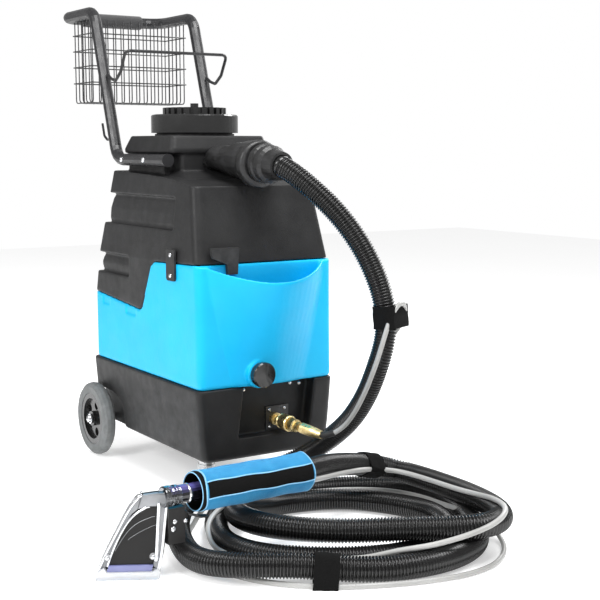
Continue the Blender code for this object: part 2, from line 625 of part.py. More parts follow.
def make_recovery_tank():
    """The black tank: moulded bands and panels at its sides and rear, and a raised hat that carries the lid."""
    rings = [recovery_plan(z, 0.0) for z in (0.370, 0.460, 0.502, 0.580, 0.700)]
    tank = loft("recovery_tank", rings)
    roof = (
        (-0.100, 0.6600), (0.055, 0.6690), (0.100, 0.6755), (0.150, 0.6815), (0.210, 0.6865), (0.270, 0.6900),
        (0.460, 0.6960), (0.600, 0.7000), (0.600, 0.9), (-0.100, 0.9),
    )
    cut(tank, prism("above_recovery_tank", [(FRONT + y, z) for y, z in roof], "X", -0.3, 0.3))
    below = [*tank_line(GAP), (FRONT + 0.600, 0.200), (FRONT - 0.150, 0.200)]
    cut(tank, prism("below_recovery_tank", below, "X", -0.3, 0.3))
    for name, low, high, start in (("lower", 0.453, 0.500, 0.345), ("upper", 0.572, 0.643, 0.132)):
        slab = box("panel_%s_slab" % name, (-0.3, FRONT + start, low), (0.3, FRONT + 0.7, high))
        middle = (low + high) / 2
        heights = (low - 0.002, low + 0.012, middle, high - 0.012, high + 0.002)
        insets = (0.0105, 0.0070, 0.0055, 0.0070, 0.0105)
        core = loft("panel_%s_core" % name, [recovery_plan(z, i, 0.012) for z, i in zip(heights, insets)])
        cut(slab, core)
        cut(tank, slab)
    valley = []
    for z, front, depth in ((0.520, 0.0137, -0.0005), (0.700, 0.0620, 0.0075)):
        plan = ((-0.052, -0.050), (0.014, -0.050), (0.014, -0.001), (-0.018, depth), (-0.052, -0.001))
        valley.append([(x, FRONT + front + y, z) for x, y in plan])
    cut(tank, loft("front_valley", valley))
    hump = [
        rounded_plan(NECK_FRONT_HALF_WIDTH + 0.034, FRONT + 0.090, FRONT + 0.452, 0.030, height=0.666),
        rounded_plan(NECK_FRONT_HALF_WIDTH + 0.004, NECK_FRONT - 0.008, FRONT + 0.442, 0.012, height=0.6965),
    ]
    join(tank, loft("hump", hump))
    half = (
        (NECK_FRONT_HALF_WIDTH - 0.006, NECK_FRONT), (NECK_FRONT_HALF_WIDTH, NECK_FRONT + 0.006),
        (NECK_FRONT_HALF_WIDTH, FRONT + 0.248), (NECK_HALF_WIDTH - 0.002, FRONT + 0.250),
        (NECK_HALF_WIDTH, FRONT + 0.252), (NECK_HALF_WIDTH, FRONT + 0.434),
        (NECK_HALF_WIDTH - 0.006, FRONT + 0.440),
    )
    neck = [*half, *((-x, y) for x, y in reversed(half))]
    join(tank, prism("neck", neck, "Z", 0.650, HAT_BOTTOM + 0.001))
    hat = [
        rounded_plan(HAT_HALF_WIDTH - 0.001, FRONT + 0.201, FRONT + 0.449, 0.012, height=HAT_BOTTOM),
        rounded_plan(HAT_HALF_WIDTH, FRONT + 0.200, FRONT + 0.450, 0.012, height=HAT_BOTTOM + 0.009),
        rounded_plan(HAT_HALF_WIDTH - 0.0075, FRONT + 0.211, FRONT + 0.428, 0.012, height=HAT_TOP),
    ]
    join(tank, loft("hat", hat))
    cavity = loft("recovery_cavity", [recovery_plan(z, 0.0165, 0.012) for z in (0.370, 0.515, 0.660)])
    floor = [*tank_line(0.0090), (FRONT + 0.600, 0.200), (FRONT - 0.150, 0.200)]
    cut(tank, cut(cavity, prism("recovery_floor", floor, "X", -0.3, 0.3)))
    cut(tank, loft("inlet_hole", [oval(*INLET, y, INLET_Z) for y in (NECK_FRONT - 0.015, FRONT + 0.320)]))
    pipe_hole = cylinder("recovery_pipe_hole", (*MOTOR_PLACE, 0.400), (0, 0, 1), AIR_PIPE_RADIUS + 0.0005, 0.1, 20)
    cut(tank, pipe_hole)
    cut(tank, cylinder("lid_opening", (0, LID_Y, 0.70), (0, 0, 1), 0.070, 0.200, 32))
    keep_as_part(tank, BLACK_PLASTIC)


def make_lid():
    """The collar on the hat, the gasket on the collar, and the ribbed screw cap."""
    z = HAT_TOP + GAP
    collar = [
        (0.0715, 0.0), (0.0930, 0.0), (0.0930, 0.004), (COLLAR_RADIUS, 0.0045), (COLLAR_RADIUS, 0.0350),
        (0.0715, 0.0350),
    ]
    keep_as_part(turned("lid_collar", collar, (0, LID_Y, z), (0, 0, 1), 40), BLACK_PLASTIC)
    gasket = [(0.0740, 0.0), (0.0875, 0.0), (0.0875, 0.003), (0.0740, 0.003)]
    keep_as_part(turned("lid_gasket", gasket, (0, LID_Y, z + 0.0354), (0, 0, 1), 32), BLACK_RUBBER)
    skirt_bottom, deck, top = 0.7840, 0.8158, 0.8265
    cap = [
        (0.0, deck), (0.0945, deck), (0.0945, skirt_bottom), (LID_RADIUS, skirt_bottom),
        (LID_RADIUS, top - 0.004),
        (LID_RADIUS - 0.0025, top - 0.001), (LID_RADIUS - 0.009, top), (0.0, top),
    ]
    lid = turned("lid_cap", cap, (0, LID_Y, 0), (0, 0, 1), 48)
    teeth = 24
    rim = []
    for k in range(teeth):
        start = FULL_TURN * k / teeth
        for share, radius in ((0.00, CROWN_RADIUS), (0.55, CROWN_RADIUS), (0.60, CROWN_ROOT), (0.95, CROWN_ROOT)):
            angle = start + FULL_TURN / teeth * share
            rim.append((radius * math.cos(angle), LID_Y + radius * math.sin(angle)))
    join(lid, prism("lid_ribs", rim, "Z", top - 0.002, 0.8420))
    join(lid, cylinder("lid_knob", (0, LID_Y, 0.8465), (0, 0, 1), 0.0095, 0.012, 12))
    keep_as_part(lid, GLOSS_BLACK)


def make_tank_inside():
    """Inside the recovery tank: the standpipe that the air leaves by, and the float that rises to shut it."""
    x, y = MOTOR_PLACE
    inner, outer, flange = AIR_PIPE_RADIUS - 0.0035, AIR_PIPE_RADIUS, 0.032
    pipe = [
        (inner, 0.2130), (outer, 0.2130), (outer, 0.3990), (flange, 0.3990), (flange, 0.4030), (outer, 0.4030),
        (outer, 0.6350), (inner, 0.6350),
    ]
    keep_as_part(turned("air_pipe", pipe, (x, y, 0), (0, 0, 1), 20), BLACK_PLASTIC)
    bore = outer + 0.0015
    ring = [(bore, 0.4340), (0.0400, 0.4340), (0.0440, 0.4420), (0.0440, 0.4560), (0.0400, 0.4640), (bore, 0.4640)]
    keep_as_part(turned("float_ring", ring, (x, y, 0), (0, 0, 1), 20), CLEAR_PLASTIC)


def make_straps():
    """Rubber straps, screwed to both tanks at the sides, and a tongue inside the mouth at the front."""
    for side, sign in (("left", -1), ("right", 1)):
        inner = TANK_HALF_WIDTH + 0.0022
        low, high = sorted((sign * inner, sign * (inner + 0.0045)))
        outline = [
            (FRONT + 0.099, 0.470), (FRONT + 0.103, 0.465), (FRONT + 0.134, 0.465), (FRONT + 0.138, 0.470),
            (FRONT + 0.138, 0.528), (FRONT + 0.134, 0.533), (FRONT + 0.103, 0.533), (FRONT + 0.099, 0.528),
        ]
        keep_as_part(prism("strap_" + side, outline, "X", low, high), BLACK_RUBBER)
    outline = [
        (-0.098, 0.484), (-0.074, 0.484), (-0.070, 0.541), (-0.138, 0.541), (-0.134, 0.520), (-0.100, 0.506),
    ]
    keep_as_part(prism("strap_front", outline, "Y", FRONT + 0.0015, FRONT + 0.0105), BLACK_RUBBER)


# ---------------------------------------------------------------- handle, rack and basket

def handle_side(sign):
    """The handle's corner points on one side, from the front end of its arm to the rear bend."""
    x = sign * HANDLE_X
    return [
        (x, FRONT + 0.206, ARM_Z),
        (x, FRONT + 0.4655, ARM_Z),
        (x, FRONT + 0.586, HANDLE_TOP),
        (x, HANDLE_REAR, HANDLE_TOP),
    ]


def make_handle():
    corners = [*handle_side(-1), *reversed(handle_side(1))]
    frame = swept("handle_frame", filleted(corners, 0.042, 4), TUBE_RADIUS, 4)
    for side, sign in (("left", -1), ("right", 1)):
        centre = (sign * HANDLE_X, FRONT + 0.2042, ARM_Z)
        join(frame, cylinder("handle_plug_" + side, centre, (0, 1, 0), 0.0148, 0.0085, 20))
    keep_as_part(frame, BLACK_STEEL)
    grip = [
        (TUBE_RADIUS + 0.0006, -0.080), (0.0172, -0.080), (0.0180, -0.076), (0.0180, 0.076), (0.0172, 0.080),
        (TUBE_RADIUS + 0.0006, 0.080),
    ]
    keep_as_part(turned("handle_grip", grip, (0, HANDLE_REAR, HANDLE_TOP), (1, 0, 0), 24), BLACK_RUBBER)


def leg_point(sign, z):
    """Where the handle leg's centreline is at a height."""
    low, high = Vector(handle_side(sign)[1]), Vector(handle_side(sign)[2])
    return low.lerp(high, (z - low.z) / (high.z - low.z))


def make_rack():
    """The hose rack: one bent rod, welded to both legs, that reaches forward to a cross bar."""
    side = []
    for dy, z in ((0.496, 0.9140), (0.470, 0.9070), (0.440, 0.9260), (0.411, 0.9740)):
        side.append((-HANDLE_X, FRONT + dy, z))
    start = leg_point(-1, 0.924) + Vector((0, -TUBE_RADIUS - 0.0050, 0))
    left = [tuple(start), *side]
    right = [(-x, y, z) for x, y, z in reversed(left)]
    keep_as_part(swept("hose_rack", filleted([*left, *right], 0.012, 3), 0.0038, 2), BLACK_STEEL)
    for label, sign in (("left", -1), ("right", 1)):
        leg = leg_point(sign, 0.772)
        hook = []
        for dy, dz in ((0.0195, 0.000), (0.040, -0.004), (0.058, 0.006), (0.068, 0.036)):
            hook.append((leg.x, leg.y + dy, leg.z + dz))
        keep_as_part(swept("cord_hook_" + label, filleted(hook, 0.010, 3), 0.0030, 2), BLACK_STEEL)


def grille(name, axis, low, high, across, up, columns, rows):
    """A flat wire panel: an outline with a grid of openings."""
    (u0, u1), (v0, v1) = across, up
    wire = BASKET_WIRE
    holes = []
    for i in range(columns):
        for j in range(rows):
            a0 = u0 + wire + (u1 - u0 - wire) * i / columns
            a1 = u0 + (u1 - u0 - wire) * (i + 1) / columns
            b0 = v0 + wire + (v1 - v0 - wire) * j / rows
            b1 = v0 + (v1 - v0 - wire) * (j + 1) / rows
            holes.append([(a0, b0), (a0, b1), (a1, b1), (a1, b0)])
    outline = [(u0, v0), (u1, v0), (u1, v1), (u0, v1)]
    keep_as_part(prism(name, outline, axis, low, high, holes), BLACK_STEEL, smooth=False)


def make_basket():
    w, wire = BASKET_HALF_WIDTH, BASKET_WIRE
    up = (BASKET_BOTTOM, BASKET_TOP)
    grille("basket_front", "Y", BASKET_FRONT, BASKET_FRONT + wire, (-w, w), up, 8, 3)
    grille("basket_rear", "Y", BASKET_REAR - wire, BASKET_REAR, (-w, w), up, 8, 3)
    deep = (BASKET_FRONT + wire + GAP, BASKET_REAR - wire - GAP)
    grille("basket_left", "X", -w, wire - w, deep, up, 4, 3)
    grille("basket_right", "X", w - wire, w, deep, up, 4, 3)
    inner = (wire - w + GAP, w - wire - GAP)
    grille("basket_floor", "Z", BASKET_BOTTOM, BASKET_BOTTOM + wire, inner, deep, 8, 4)


# ---------------------------------------------------------------- hoses

def make_port():
    """The hose port: a boot on the neck that swells to a round socket for the cuff."""
    outside = (
        (NECK_FRONT - GAP, 0.0455, 0.0195, INLET_Z), (FRONT + 0.1985, 0.0455, 0.0195, INLET_Z),
        (FRONT + 0.1955, 0.0460, 0.0295, 0.7278),
        (FRONT + 0.1500, 0.0465, 0.0315, 0.7220), (FRONT + 0.1100, 0.0475, 0.0415, 0.7210),
        (FRONT + 0.0530, 0.0487, 0.0468, 0.7197), (FRONT + 0.0480, 0.0520, 0.0520, PORT_Z - 0.0025),
        (FRONT + 0.0320, 0.0525, 0.0525, PORT_Z - 0.0025), (FRONT + 0.0275, 0.0500, 0.0500, PORT_Z - 0.0020),
        (FRONT + 0.0242, 0.0440, 0.0440, PORT_Z),
    )
    port = loft("hose_port", [oval(half_x, half_z, y, z) for y, half_x, half_z, z in outside])
    inside = (
        (FRONT + 0.2300, *INLET, INLET_Z), (FRONT + 0.1950, *INLET, INLET_Z),
        (FRONT + 0.1500, PORT_BORE, 0.0260, 0.7190), (FRONT + 0.1100, PORT_BORE, PORT_BORE, PORT_Z),
        (FRONT - 0.0500, PORT_BORE, PORT_BORE, PORT_Z),
    )
    cut(port, loft("port_bore", [oval(half_x, half_z, y, z) for y, half_x, half_z, z in inside]))
    keep_as_part(port, BLACK_RUBBER)
    start = Vector((0, FRONT + 0.0190, PORT_Z))
    end = Vector((0.004, FRONT - 0.050, PORT_Z - PORT_DROP))
    axis = end - start
    bore_radius = 0.0240
    cuff = [
        (bore_radius, 0.0), (0.0415, 0.0), (0.0425, 0.003), (0.0425, 0.013), (0.0390, 0.016), (0.0390, 0.026),
        (0.0405, 0.028), (0.0405, 0.034), (0.0340, 0.040), (0.0300, axis.length), (bore_radius, axis.length),
    ]
    keep_as_part(turned("hose_cuff", cuff, start, axis, 24), BLACK_RUBBER)


def hose_drop():
    """The vacuum hose's route from the cuff, out and down before the machine, to the top of the coil."""
    points = [
        (0.0052, -0.0610, 0.7090), (0.0150, -0.0800, 0.6960), (0.0340, -0.1060, 0.6720),
        (0.0620, -0.142, 0.6340),
        (0.0900, -0.180, 0.5820), (0.1120, -0.210, 0.5250), (0.1270, -0.230, 0.4700), (0.1360, -0.240, 0.4190),
        (0.1340, -0.244, 0.3600), (0.1226, -0.238, 0.3160), (0.1180, -0.212, 0.2533), (0.1121, -0.178, 0.2008),
        (0.1061, -0.143, 0.1640), (0.0920, -0.1190, 0.1390), (0.0720, -0.0980, 0.1250),
    ]
    return [(x, FRONT + y, z) for x, y, z in points]


def tool_end_route():
    """The hose's last stretch, from the top of the coil to the tool's wrap."""
    points = [
        (0.190, -0.300, 0.1250), (0.130, -0.270, 0.1270), (0.060, -0.278, 0.1310), (-0.010, -0.305, 0.1360),
        (-0.070, -0.330, 0.1420), (-0.1255, -0.3505, 0.1460),
    ]
    return [(x, FRONT + y, z) for x, y, z in points]


def solution_route():
    """The grey hose's route: up before the vacuum hose to the tie, over, and down behind it to the coil."""
    points = [
        (0.0525, -0.1326, 0.1450), (0.0633, -0.1450, 0.1466), (0.0765, -0.1630, 0.1600), (0.0830, -0.1930, 0.1900),
        (0.0863, -0.2280, 0.2379), (0.0907, -0.2550, 0.2902), (0.1001, -0.2690, 0.3389), (0.1130, -0.2730, 0.3836),
        (0.1300, -0.2720, 0.4188), (0.1500, -0.2660, 0.4350), (0.1771, -0.2500, 0.4300), (0.1893, -0.2360, 0.4064),
        (0.1874, -0.2220, 0.3795), (0.1745, -0.2120, 0.3389), (0.1620, -0.2000, 0.2900), (0.1520, -0.1800, 0.2300),
        (0.1480, -0.1550, 0.1700), (0.1400, -0.1300, 0.1250), (0.1220, -0.1110, 0.1090),
    ]
    return [(x, FRONT + y, z) for x, y, z in points]


def make_hoses():
    drop = smooth_path(hose_drop(), 30)
    keep_as_part(swept("vacuum_hose", [CUFF_END, *drop], VACUUM_HOSE_RADIUS, 3), BLACK_PLASTIC)
    end = smooth_path(tool_end_route(), 12)
    keep_as_part(swept("vacuum_hose_end", end, VACUUM_HOSE_RADIUS, 3), BLACK_PLASTIC)
    grey = smooth_path(solution_route(), 56)
    keep_as_part(swept("solution_hose", grey, SOLUTION_HOSE_RADIUS, 2), GREY_HOSE)
    edge = 0.022
    profile = [
        (COIL_INNER, edge), (COIL_INNER + edge, 0.0005), (COIL_OUTER - edge, 0.0005), (COIL_OUTER, edge),
        (COIL_OUTER, COIL_HEIGHT - edge), (COIL_OUTER - edge, COIL_HEIGHT), (COIL_INNER + edge, COIL_HEIGHT),
        (COIL_INNER, COIL_HEIGHT - edge),
    ]
    keep_as_part(turned("hose_coil", profile, (*COIL_CENTRE, 0), (0, 0, 1), 48), BLACK_PLASTIC)


def make_coupler():
    """The brass quick coupler on the solution hose: sliding sleeve, plug and crimped ferrule."""
    x, z = FITTING_PLACE
    y = FRONT - 0.0025
    sleeve = [
        (0.0102, 0.0), (0.0155, 0.0), (0.0170, 0.003), (0.0155, 0.006), (0.0155, 0.012), (0.0175, 0.014),
        (0.0175, 0.034), (0.0155, 0.037), (0.0102, 0.037),
    ]
    keep_as_part(turned("coupler_sleeve", sleeve, (x, y, z), (0, -1, 0), 20), BRASS)
    body = [
        (0.0, 0.004), (0.0096, 0.004), (0.0096, 0.0435), (0.0140, 0.0440), (0.0140, 0.058), (0.0105, 0.060),
        (0.0105, 0.078), (0.0, 0.078),
    ]
    coupler = turned("coupler_body", body, (x, y, z), (0, -1, 0), 16)
    start = Vector((x, y - 0.0760, z))
    end = Vector((0.0515, FRONT - 0.1300, 0.1454))
    axis = end - start
    ferrule = [(0.0, 0.0), (0.0100, 0.0), (0.0115, 0.003), (0.0115, 0.030), (0.0085, axis.length), (0.0, axis.length)]
    join(coupler, turned("coupler_ferrule", ferrule, start, axis, 16))
    keep_as_part(coupler, BRASS)


# ---------------------------------------------------------------- hand tool

def make_tool():
    """The hand tool: a clear-fronted head, a bright tube, the valve with its trigger, and the blue wrap."""
    left, right = Vector((-0.3700, FRONT - 0.3640, 0.1490)), Vector((-0.1260, FRONT - 0.3505, 0.1460))
    axis = (right - left).normalized()
    wrap = [(0.0335, 0.0), (0.0370, 0.0), (0.0380, 0.004), (0.0375, 0.232), (0.0365, 0.2365), (0.0335, 0.2365)]
    keep_as_part(turned("tool_wrap", wrap, left, axis, 24), BLUE_FABRIC)
    length = 0.170
    pipe = [(0.0, 0.0), (0.0165, 0.0), (0.0165, length), (0.0, length)]
    start = left - axis * 0.062
    keep_as_part(turned("tool_tube", pipe, start, axis, 20), BRIGHT_STEEL)
    y = FRONT - 0.3560
    outline = [
        (-0.1190, 0.0010), (HEAD_RIGHT, 0.0010), (HEAD_RIGHT, 0.1560), (-0.0370, 0.1520), (-0.0490, 0.1465),
        (-0.0580, 0.1330), (-0.0955, 0.0598), (-0.1160, 0.0160),
    ]
    head = prism("tool_head", outline, "Y", -0.0150, 0.0150)
    slot = [(-0.1060, -0.010), (-0.0160, -0.010), (-0.0160, 0.090), (-0.0660, 0.090)]
    mouth = prism("tool_mouth", slot, "Y", -0.0090, 0.0090)
    for piece in (head, mouth):
        piece.data.transform(Matrix.Translation((-0.4340, y, 0)) @ Matrix.Rotation(HEAD_TURN, 4, "Z"))
    cut(head, mouth)
    keep_as_part(head, CLEAR_PLASTIC)
    valve = box("tool_valve", (-0.4310, y - 0.0130, 0.0620), (-0.3990, y + 0.0130, 0.1270))
    hinge = Vector((-0.3930, y, 0.1090))
    join(valve, box("valve_ear", (-0.4000, y - 0.0050, 0.1030), (-0.3900, y + 0.0050, 0.1150)))
    keep_as_part(valve, BLACK_PLASTIC)
    lever = [
        (-0.3888, 0.1105), (-0.3888, 0.1075), (-0.3640, 0.0980), (-0.3480, 0.0965), (-0.3480, 0.0995),
        (-0.3630, 0.1010),
    ]
    trigger = prism("tool_trigger", lever, "Y", y - 0.0070, y + 0.0070)
    trigger.data.transform(Matrix.Translation(-hinge))
    trigger.location = hinge
    keep_as_part(trigger, BLACK_PLASTIC)


# ---------------------------------------------------------------- the machine

clear_scene()
parts = new_collection("carpet_cleaner")
cutters = new_collection("cutters")
make_base_pan()
make_fitting()
make_axle()
for side_name, side_sign in (("left", -1), ("right", 1)):
    make_wheel(side_name, side_sign)
    make_caster(side_name, side_sign)
make_works()
make_switches()
make_solution_tank()
make_drain()
make_recovery_tank()
make_lid()
make_tank_inside()
make_straps()
make_handle()
make_rack()
make_basket()
make_port()
make_hoses()
make_coupler()
make_tool()
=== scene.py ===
"""The looks of the carpet cleaner: materials, hoses, hand tool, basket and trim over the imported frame."""

import math

import bmesh
import bpy
import numpy as np
from mathutils import Matrix, Vector


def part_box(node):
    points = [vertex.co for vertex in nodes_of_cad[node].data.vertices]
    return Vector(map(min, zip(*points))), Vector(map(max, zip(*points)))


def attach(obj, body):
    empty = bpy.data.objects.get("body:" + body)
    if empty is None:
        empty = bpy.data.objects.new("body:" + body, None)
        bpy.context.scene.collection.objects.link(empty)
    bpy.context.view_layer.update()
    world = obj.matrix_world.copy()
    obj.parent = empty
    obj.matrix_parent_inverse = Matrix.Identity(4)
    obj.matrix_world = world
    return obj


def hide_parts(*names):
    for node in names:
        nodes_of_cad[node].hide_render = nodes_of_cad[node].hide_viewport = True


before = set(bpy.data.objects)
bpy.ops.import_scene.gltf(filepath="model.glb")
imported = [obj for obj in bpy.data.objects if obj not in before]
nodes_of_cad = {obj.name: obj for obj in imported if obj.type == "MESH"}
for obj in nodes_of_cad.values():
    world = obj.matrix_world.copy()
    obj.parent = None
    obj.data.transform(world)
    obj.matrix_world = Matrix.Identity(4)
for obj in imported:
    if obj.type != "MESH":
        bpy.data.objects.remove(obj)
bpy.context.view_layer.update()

MACHINE = "machine"
CAMERA_PLACE = (-1.338, -2.1830, 0.7535)      # y from the base's front face
CAMERA_LENS = 71.7
CAMERA_SENSOR = 36
CAMERA_DOWN = math.radians(7.34)
CAMERA_TURN = math.radians(-33.04)
FLOOR_SIZE = 12.0
FLOOR_GLOW = 0.42
LIGHTS = (      # name, place, target, size, watts
    ("key", (-3.0, -1.0, 2.3), (0, 0, 0.5), (1.3, 1.3), 62),
    ("top", (0.2, -1.6, 3.2), (0, -0.2, 0.4), (1.6, 1.6), 95),
    ("rim", (2.4, 0.6, 2.0), (0, -0.2, 0.5), (0.7, 1.6), 45),
)
WORLD_LIGHT = 0.50
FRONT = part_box("base_pan")[0][1]

HOSE_RADIUS = 0.023
HOSE_VALLEY = 0.0032
RIB_PITCH = 0.0060
RIB_STEPS = 8
RIB_SIDES = 28
HOSE_SMOOTHING = 12      # rounds of averaging along the route
GREY_SMOOTHING = 3
GREY_RADIUS = 0.0050
WIRE_RADIUS = 0.0015
FULL_TURN = 2 * math.pi
TIES = (      # name, a point near it, how far it reaches for hoses, width
    ("tie_drop", (0.1350, -0.2430, 0.4050), 0.060, 0.046),
    ("tie_rear", (0.0950, -0.2330, 0.0960), 0.045, 0.044),
    ("tie_front", (-0.2130, -0.5370, 0.0300), 0.040, 0.044),
)
TIE_LAYERS = (0.0008, 0.0030)

HEAD_CORNER = (-0.4340, -0.3560)
HEAD_TURN = math.radians(-29)
WRAP_START = (-0.3700, -0.3640, 0.1490)
WRAP_END = (-0.1260, -0.3505, 0.1460)
WRAP_RADIUS = 0.0380
WRAP_LENGTH = 0.2290
LINING_PROFILE = ((0.0355, -0.0100), (0.0355, 0.0050), (0.0336, 0.0100), (0.0336, 0.2275), (0.0324, 0.2275),
                  (0.0324, -0.0100))
STRAP_ANGLES = (math.radians(-10), math.radians(36))

HOOPS_ACROSS = 13
HOOPS_DEEP = 6
RING_HEIGHTS = (0.9110, 0.9510, 0.9910, 1.0300)
HOOP_CORNER = 0.010
RING_PROUD = 0.0045

ARM_SIDE = 0.1485
ARM_HEIGHT = 0.7220
ARM_SCREWS = (0.3000, 0.4170)
ARM_SCREW_RADIUS = 0.0062
STRAP_SCREWS = ((0.1180, 0.5210), (0.1180, 0.4760))
SCREW_RADIUS = 0.0048
PLATE_SCREWS = ((0.16, 0.86), (0.84, 0.86), (0.16, 0.14), (0.84, 0.14))      # shares of the plate
PLATE_SCREW_RADIUS = 0.0038
RECESS_DEPTH = 0.0320
RECESS_SCREWS = ((-0.0450, 0.2260), (-0.0080, 0.2300), (0.0760, 0.2290), (0.1000, 0.2260))


# ---------------------------------------------------------------- camera, floor and light

def make_camera():
    camera = bpy.data.cameras.new("camera")
    camera.lens = CAMERA_LENS
    camera.sensor_width = CAMERA_SENSOR
    obj = bpy.data.objects.new("camera", camera)
    obj.location = forward([CAMERA_PLACE])[0]
    obj.rotation_euler = (math.pi / 2 - CAMERA_DOWN, 0, CAMERA_TURN)
    bpy.context.scene.collection.objects.link(obj)
    bpy.context.scene.camera = obj


def area_light(name, place, target, size, watts):
    light = bpy.data.lights.new(name, "AREA")
    light.energy = watts
    light.shape = "RECTANGLE"
    light.size, light.size_y = size
    obj = bpy.data.objects.new(name, light)
    obj.location = place
    obj.rotation_euler = (Vector(target) - Vector(place)).to_track_quat("-Z", "Y").to_euler()
    bpy.context.scene.collection.objects.link(obj)


def make_studio():
    """A white backdrop, a white floor, and three soft boxes."""
    world = bpy.data.worlds.new("studio")
    world.use_nodes = True
    tree = world.node_tree
    seen = new_node(tree, "ShaderNodeLightPath").outputs["Is Camera Ray"]
    strength = spread(tree, seen, 0.0, 1.0, WORLD_LIGHT, 1.0)
    tree.links.new(strength, tree.nodes["Background"].inputs["Strength"])
    tree.nodes["Background"].inputs["Color"].default_value = (1, 1, 1, 1)
    bpy.context.scene.world = world
    bpy.context.scene.view_settings.view_transform = "Standard"
    floor = grid_object("floor", FLOOR_SIZE)
    floor.data.materials.append(floor_material())
    for name, place, target, size, watts in LIGHTS:
        area_light(name, place, target, size, watts)


def grid_object(name, size):
    shape = bmesh.new()
    bmesh.ops.create_grid(shape, x_segments=1, y_segments=1, size=size / 2)
    return object_from(name, shape)


# ---------------------------------------------------------------- shader nodes

def new_node(tree, kind, values=None, **settings):
    """A shader node. Each entry of values is a number, a colour or another node's socket."""
    made = tree.nodes.new(kind)
    for key, value in settings.items():
        setattr(made, key, value)
    for key, value in (values or {}).items():
        if isinstance(value, bpy.types.NodeSocket):
            tree.links.new(value, made.inputs[key])
        else:
            made.inputs[key].default_value = value
    return made


def new_material(name, roughness=0.5, metallic=0.0):
    material = bpy.data.materials.new(name)
    material.use_nodes = True
    shader = material.node_tree.nodes["Principled BSDF"]
    shader.inputs["Roughness"].default_value = roughness
    shader.inputs["Metallic"].default_value = metallic
    return material, material.node_tree, shader


def place_of(tree):
    return new_node(tree, "ShaderNodeTexCoord").outputs["Object"]


def noise(tree, scale, detail=3.0, place=None, roughness=0.55):
    values = {"Scale": scale, "Detail": detail, "Roughness": roughness}
    values["Vector"] = place if place is not None else place_of(tree)
    return new_node(tree, "ShaderNodeTexNoise", values).outputs["Fac"]


def spread(tree, value, low, high, to_low, to_high):
    values = {"Value": value, "From Min": low, "From Max": high, "To Min": to_low, "To Max": to_high}
    return new_node(tree, "ShaderNodeMapRange", values).outputs["Result"]


def blend_colours(tree, share, first, second):
    mix = new_node(tree, "ShaderNodeMix", data_type="RGBA")
    for index, value in ((0, share), (6, first), (7, second)):
        if isinstance(value, bpy.types.NodeSocket):
            tree.links.new(value, mix.inputs[index])
        elif index:
            mix.inputs[index].default_value = (*value, 1)
        else:
            mix.inputs[index].default_value = value
    return mix.outputs[2]


def edge_wear(tree, low=0.52, high=0.60):
    """Near 1 on sharp outer edges and 0 elsewhere."""
    pointed = new_node(tree, "ShaderNodeNewGeometry").outputs["Pointiness"]
    return spread(tree, pointed, low, high, 0.0, 1.0)


def bumped(tree, shader, height, depth, strength=1.0):
    values = {"Height": height, "Distance": depth, "Strength": strength}
    bump = new_node(tree, "ShaderNodeBump", values)
    tree.links.new(bump.outputs["Normal"], shader.inputs["Normal"])


def floor_material():
    material, tree, shader = new_material("floor_paper", 0.85)
    tint = blend_colours(tree, noise(tree, 1.5), (0.93, 0.93, 0.93), (0.96, 0.96, 0.96))
    tree.links.new(tint, shader.inputs["Base Color"])
    shader.inputs["Emission Color"].default_value = (1, 1, 1, 1)
    shader.inputs["Emission Strength"].default_value = FLOOR_GLOW
    bumped(tree, shader, noise(tree, 300), 0.0002)
    return material


def pebbled_plastic(name, dark, light, roughness=0.52, grain=520.0, depth=0.00035):
    """Rotomoulded plastic: mottled colour, a fine pebble, and paler rubbed edges."""
    material, tree, shader = new_material(name, roughness)
    place = place_of(tree)
    mottle = spread(tree, noise(tree, 11, 5, place), 0.35, 0.65, 0.0, 1.0)
    base = blend_colours(tree, mottle, dark, light)
    rubbed = tuple(min(1.0, c * 2.1 + 0.01) for c in light)
    scuffs = spread(tree, noise(tree, 60, 4, place), 0.42, 0.62, 0.0, 0.65)
    worn = new_node(tree, "ShaderNodeMath", {0: edge_wear(tree), 1: scuffs}, operation="MULTIPLY")
    tree.links.new(blend_colours(tree, worn.outputs[0], base, rubbed), shader.inputs["Base Color"])
    uneven = spread(tree, noise(tree, 34, 3, place), 0.3, 0.7, roughness - 0.07, roughness + 0.09)
    tree.links.new(uneven, shader.inputs["Roughness"])
    shader.inputs["Specular IOR Level"].default_value = 0.30
    pebble = new_node(tree, "ShaderNodeTexVoronoi", {"Vector": place, "Scale": grain, "Randomness": 0.9})
    bumped(tree, shader, pebble.outputs["Distance"], depth, 0.8)
    return material


def smooth_plastic(name, dark, light, roughness=0.3, peel=150.0, depth=0.0002, coat=0.0, gloss=0.5):
    """Smooth moulded plastic with a slight orange peel and faint streaks of colour."""
    material, tree, shader = new_material(name, roughness)
    place = place_of(tree)
    streak = spread(tree, noise(tree, 7, 4, place), 0.32, 0.68, 0.0, 1.0)
    tree.links.new(blend_colours(tree, streak, dark, light), shader.inputs["Base Color"])
    uneven = spread(tree, noise(tree, 26, 3, place), 0.3, 0.7, roughness - 0.05, roughness + 0.07)
    tree.links.new(uneven, shader.inputs["Roughness"])
    bumped(tree, shader, noise(tree, peel, 3, place), depth)
    shader.inputs["Coat Weight"].default_value = coat
    shader.inputs["Specular IOR Level"].default_value = gloss
    return material


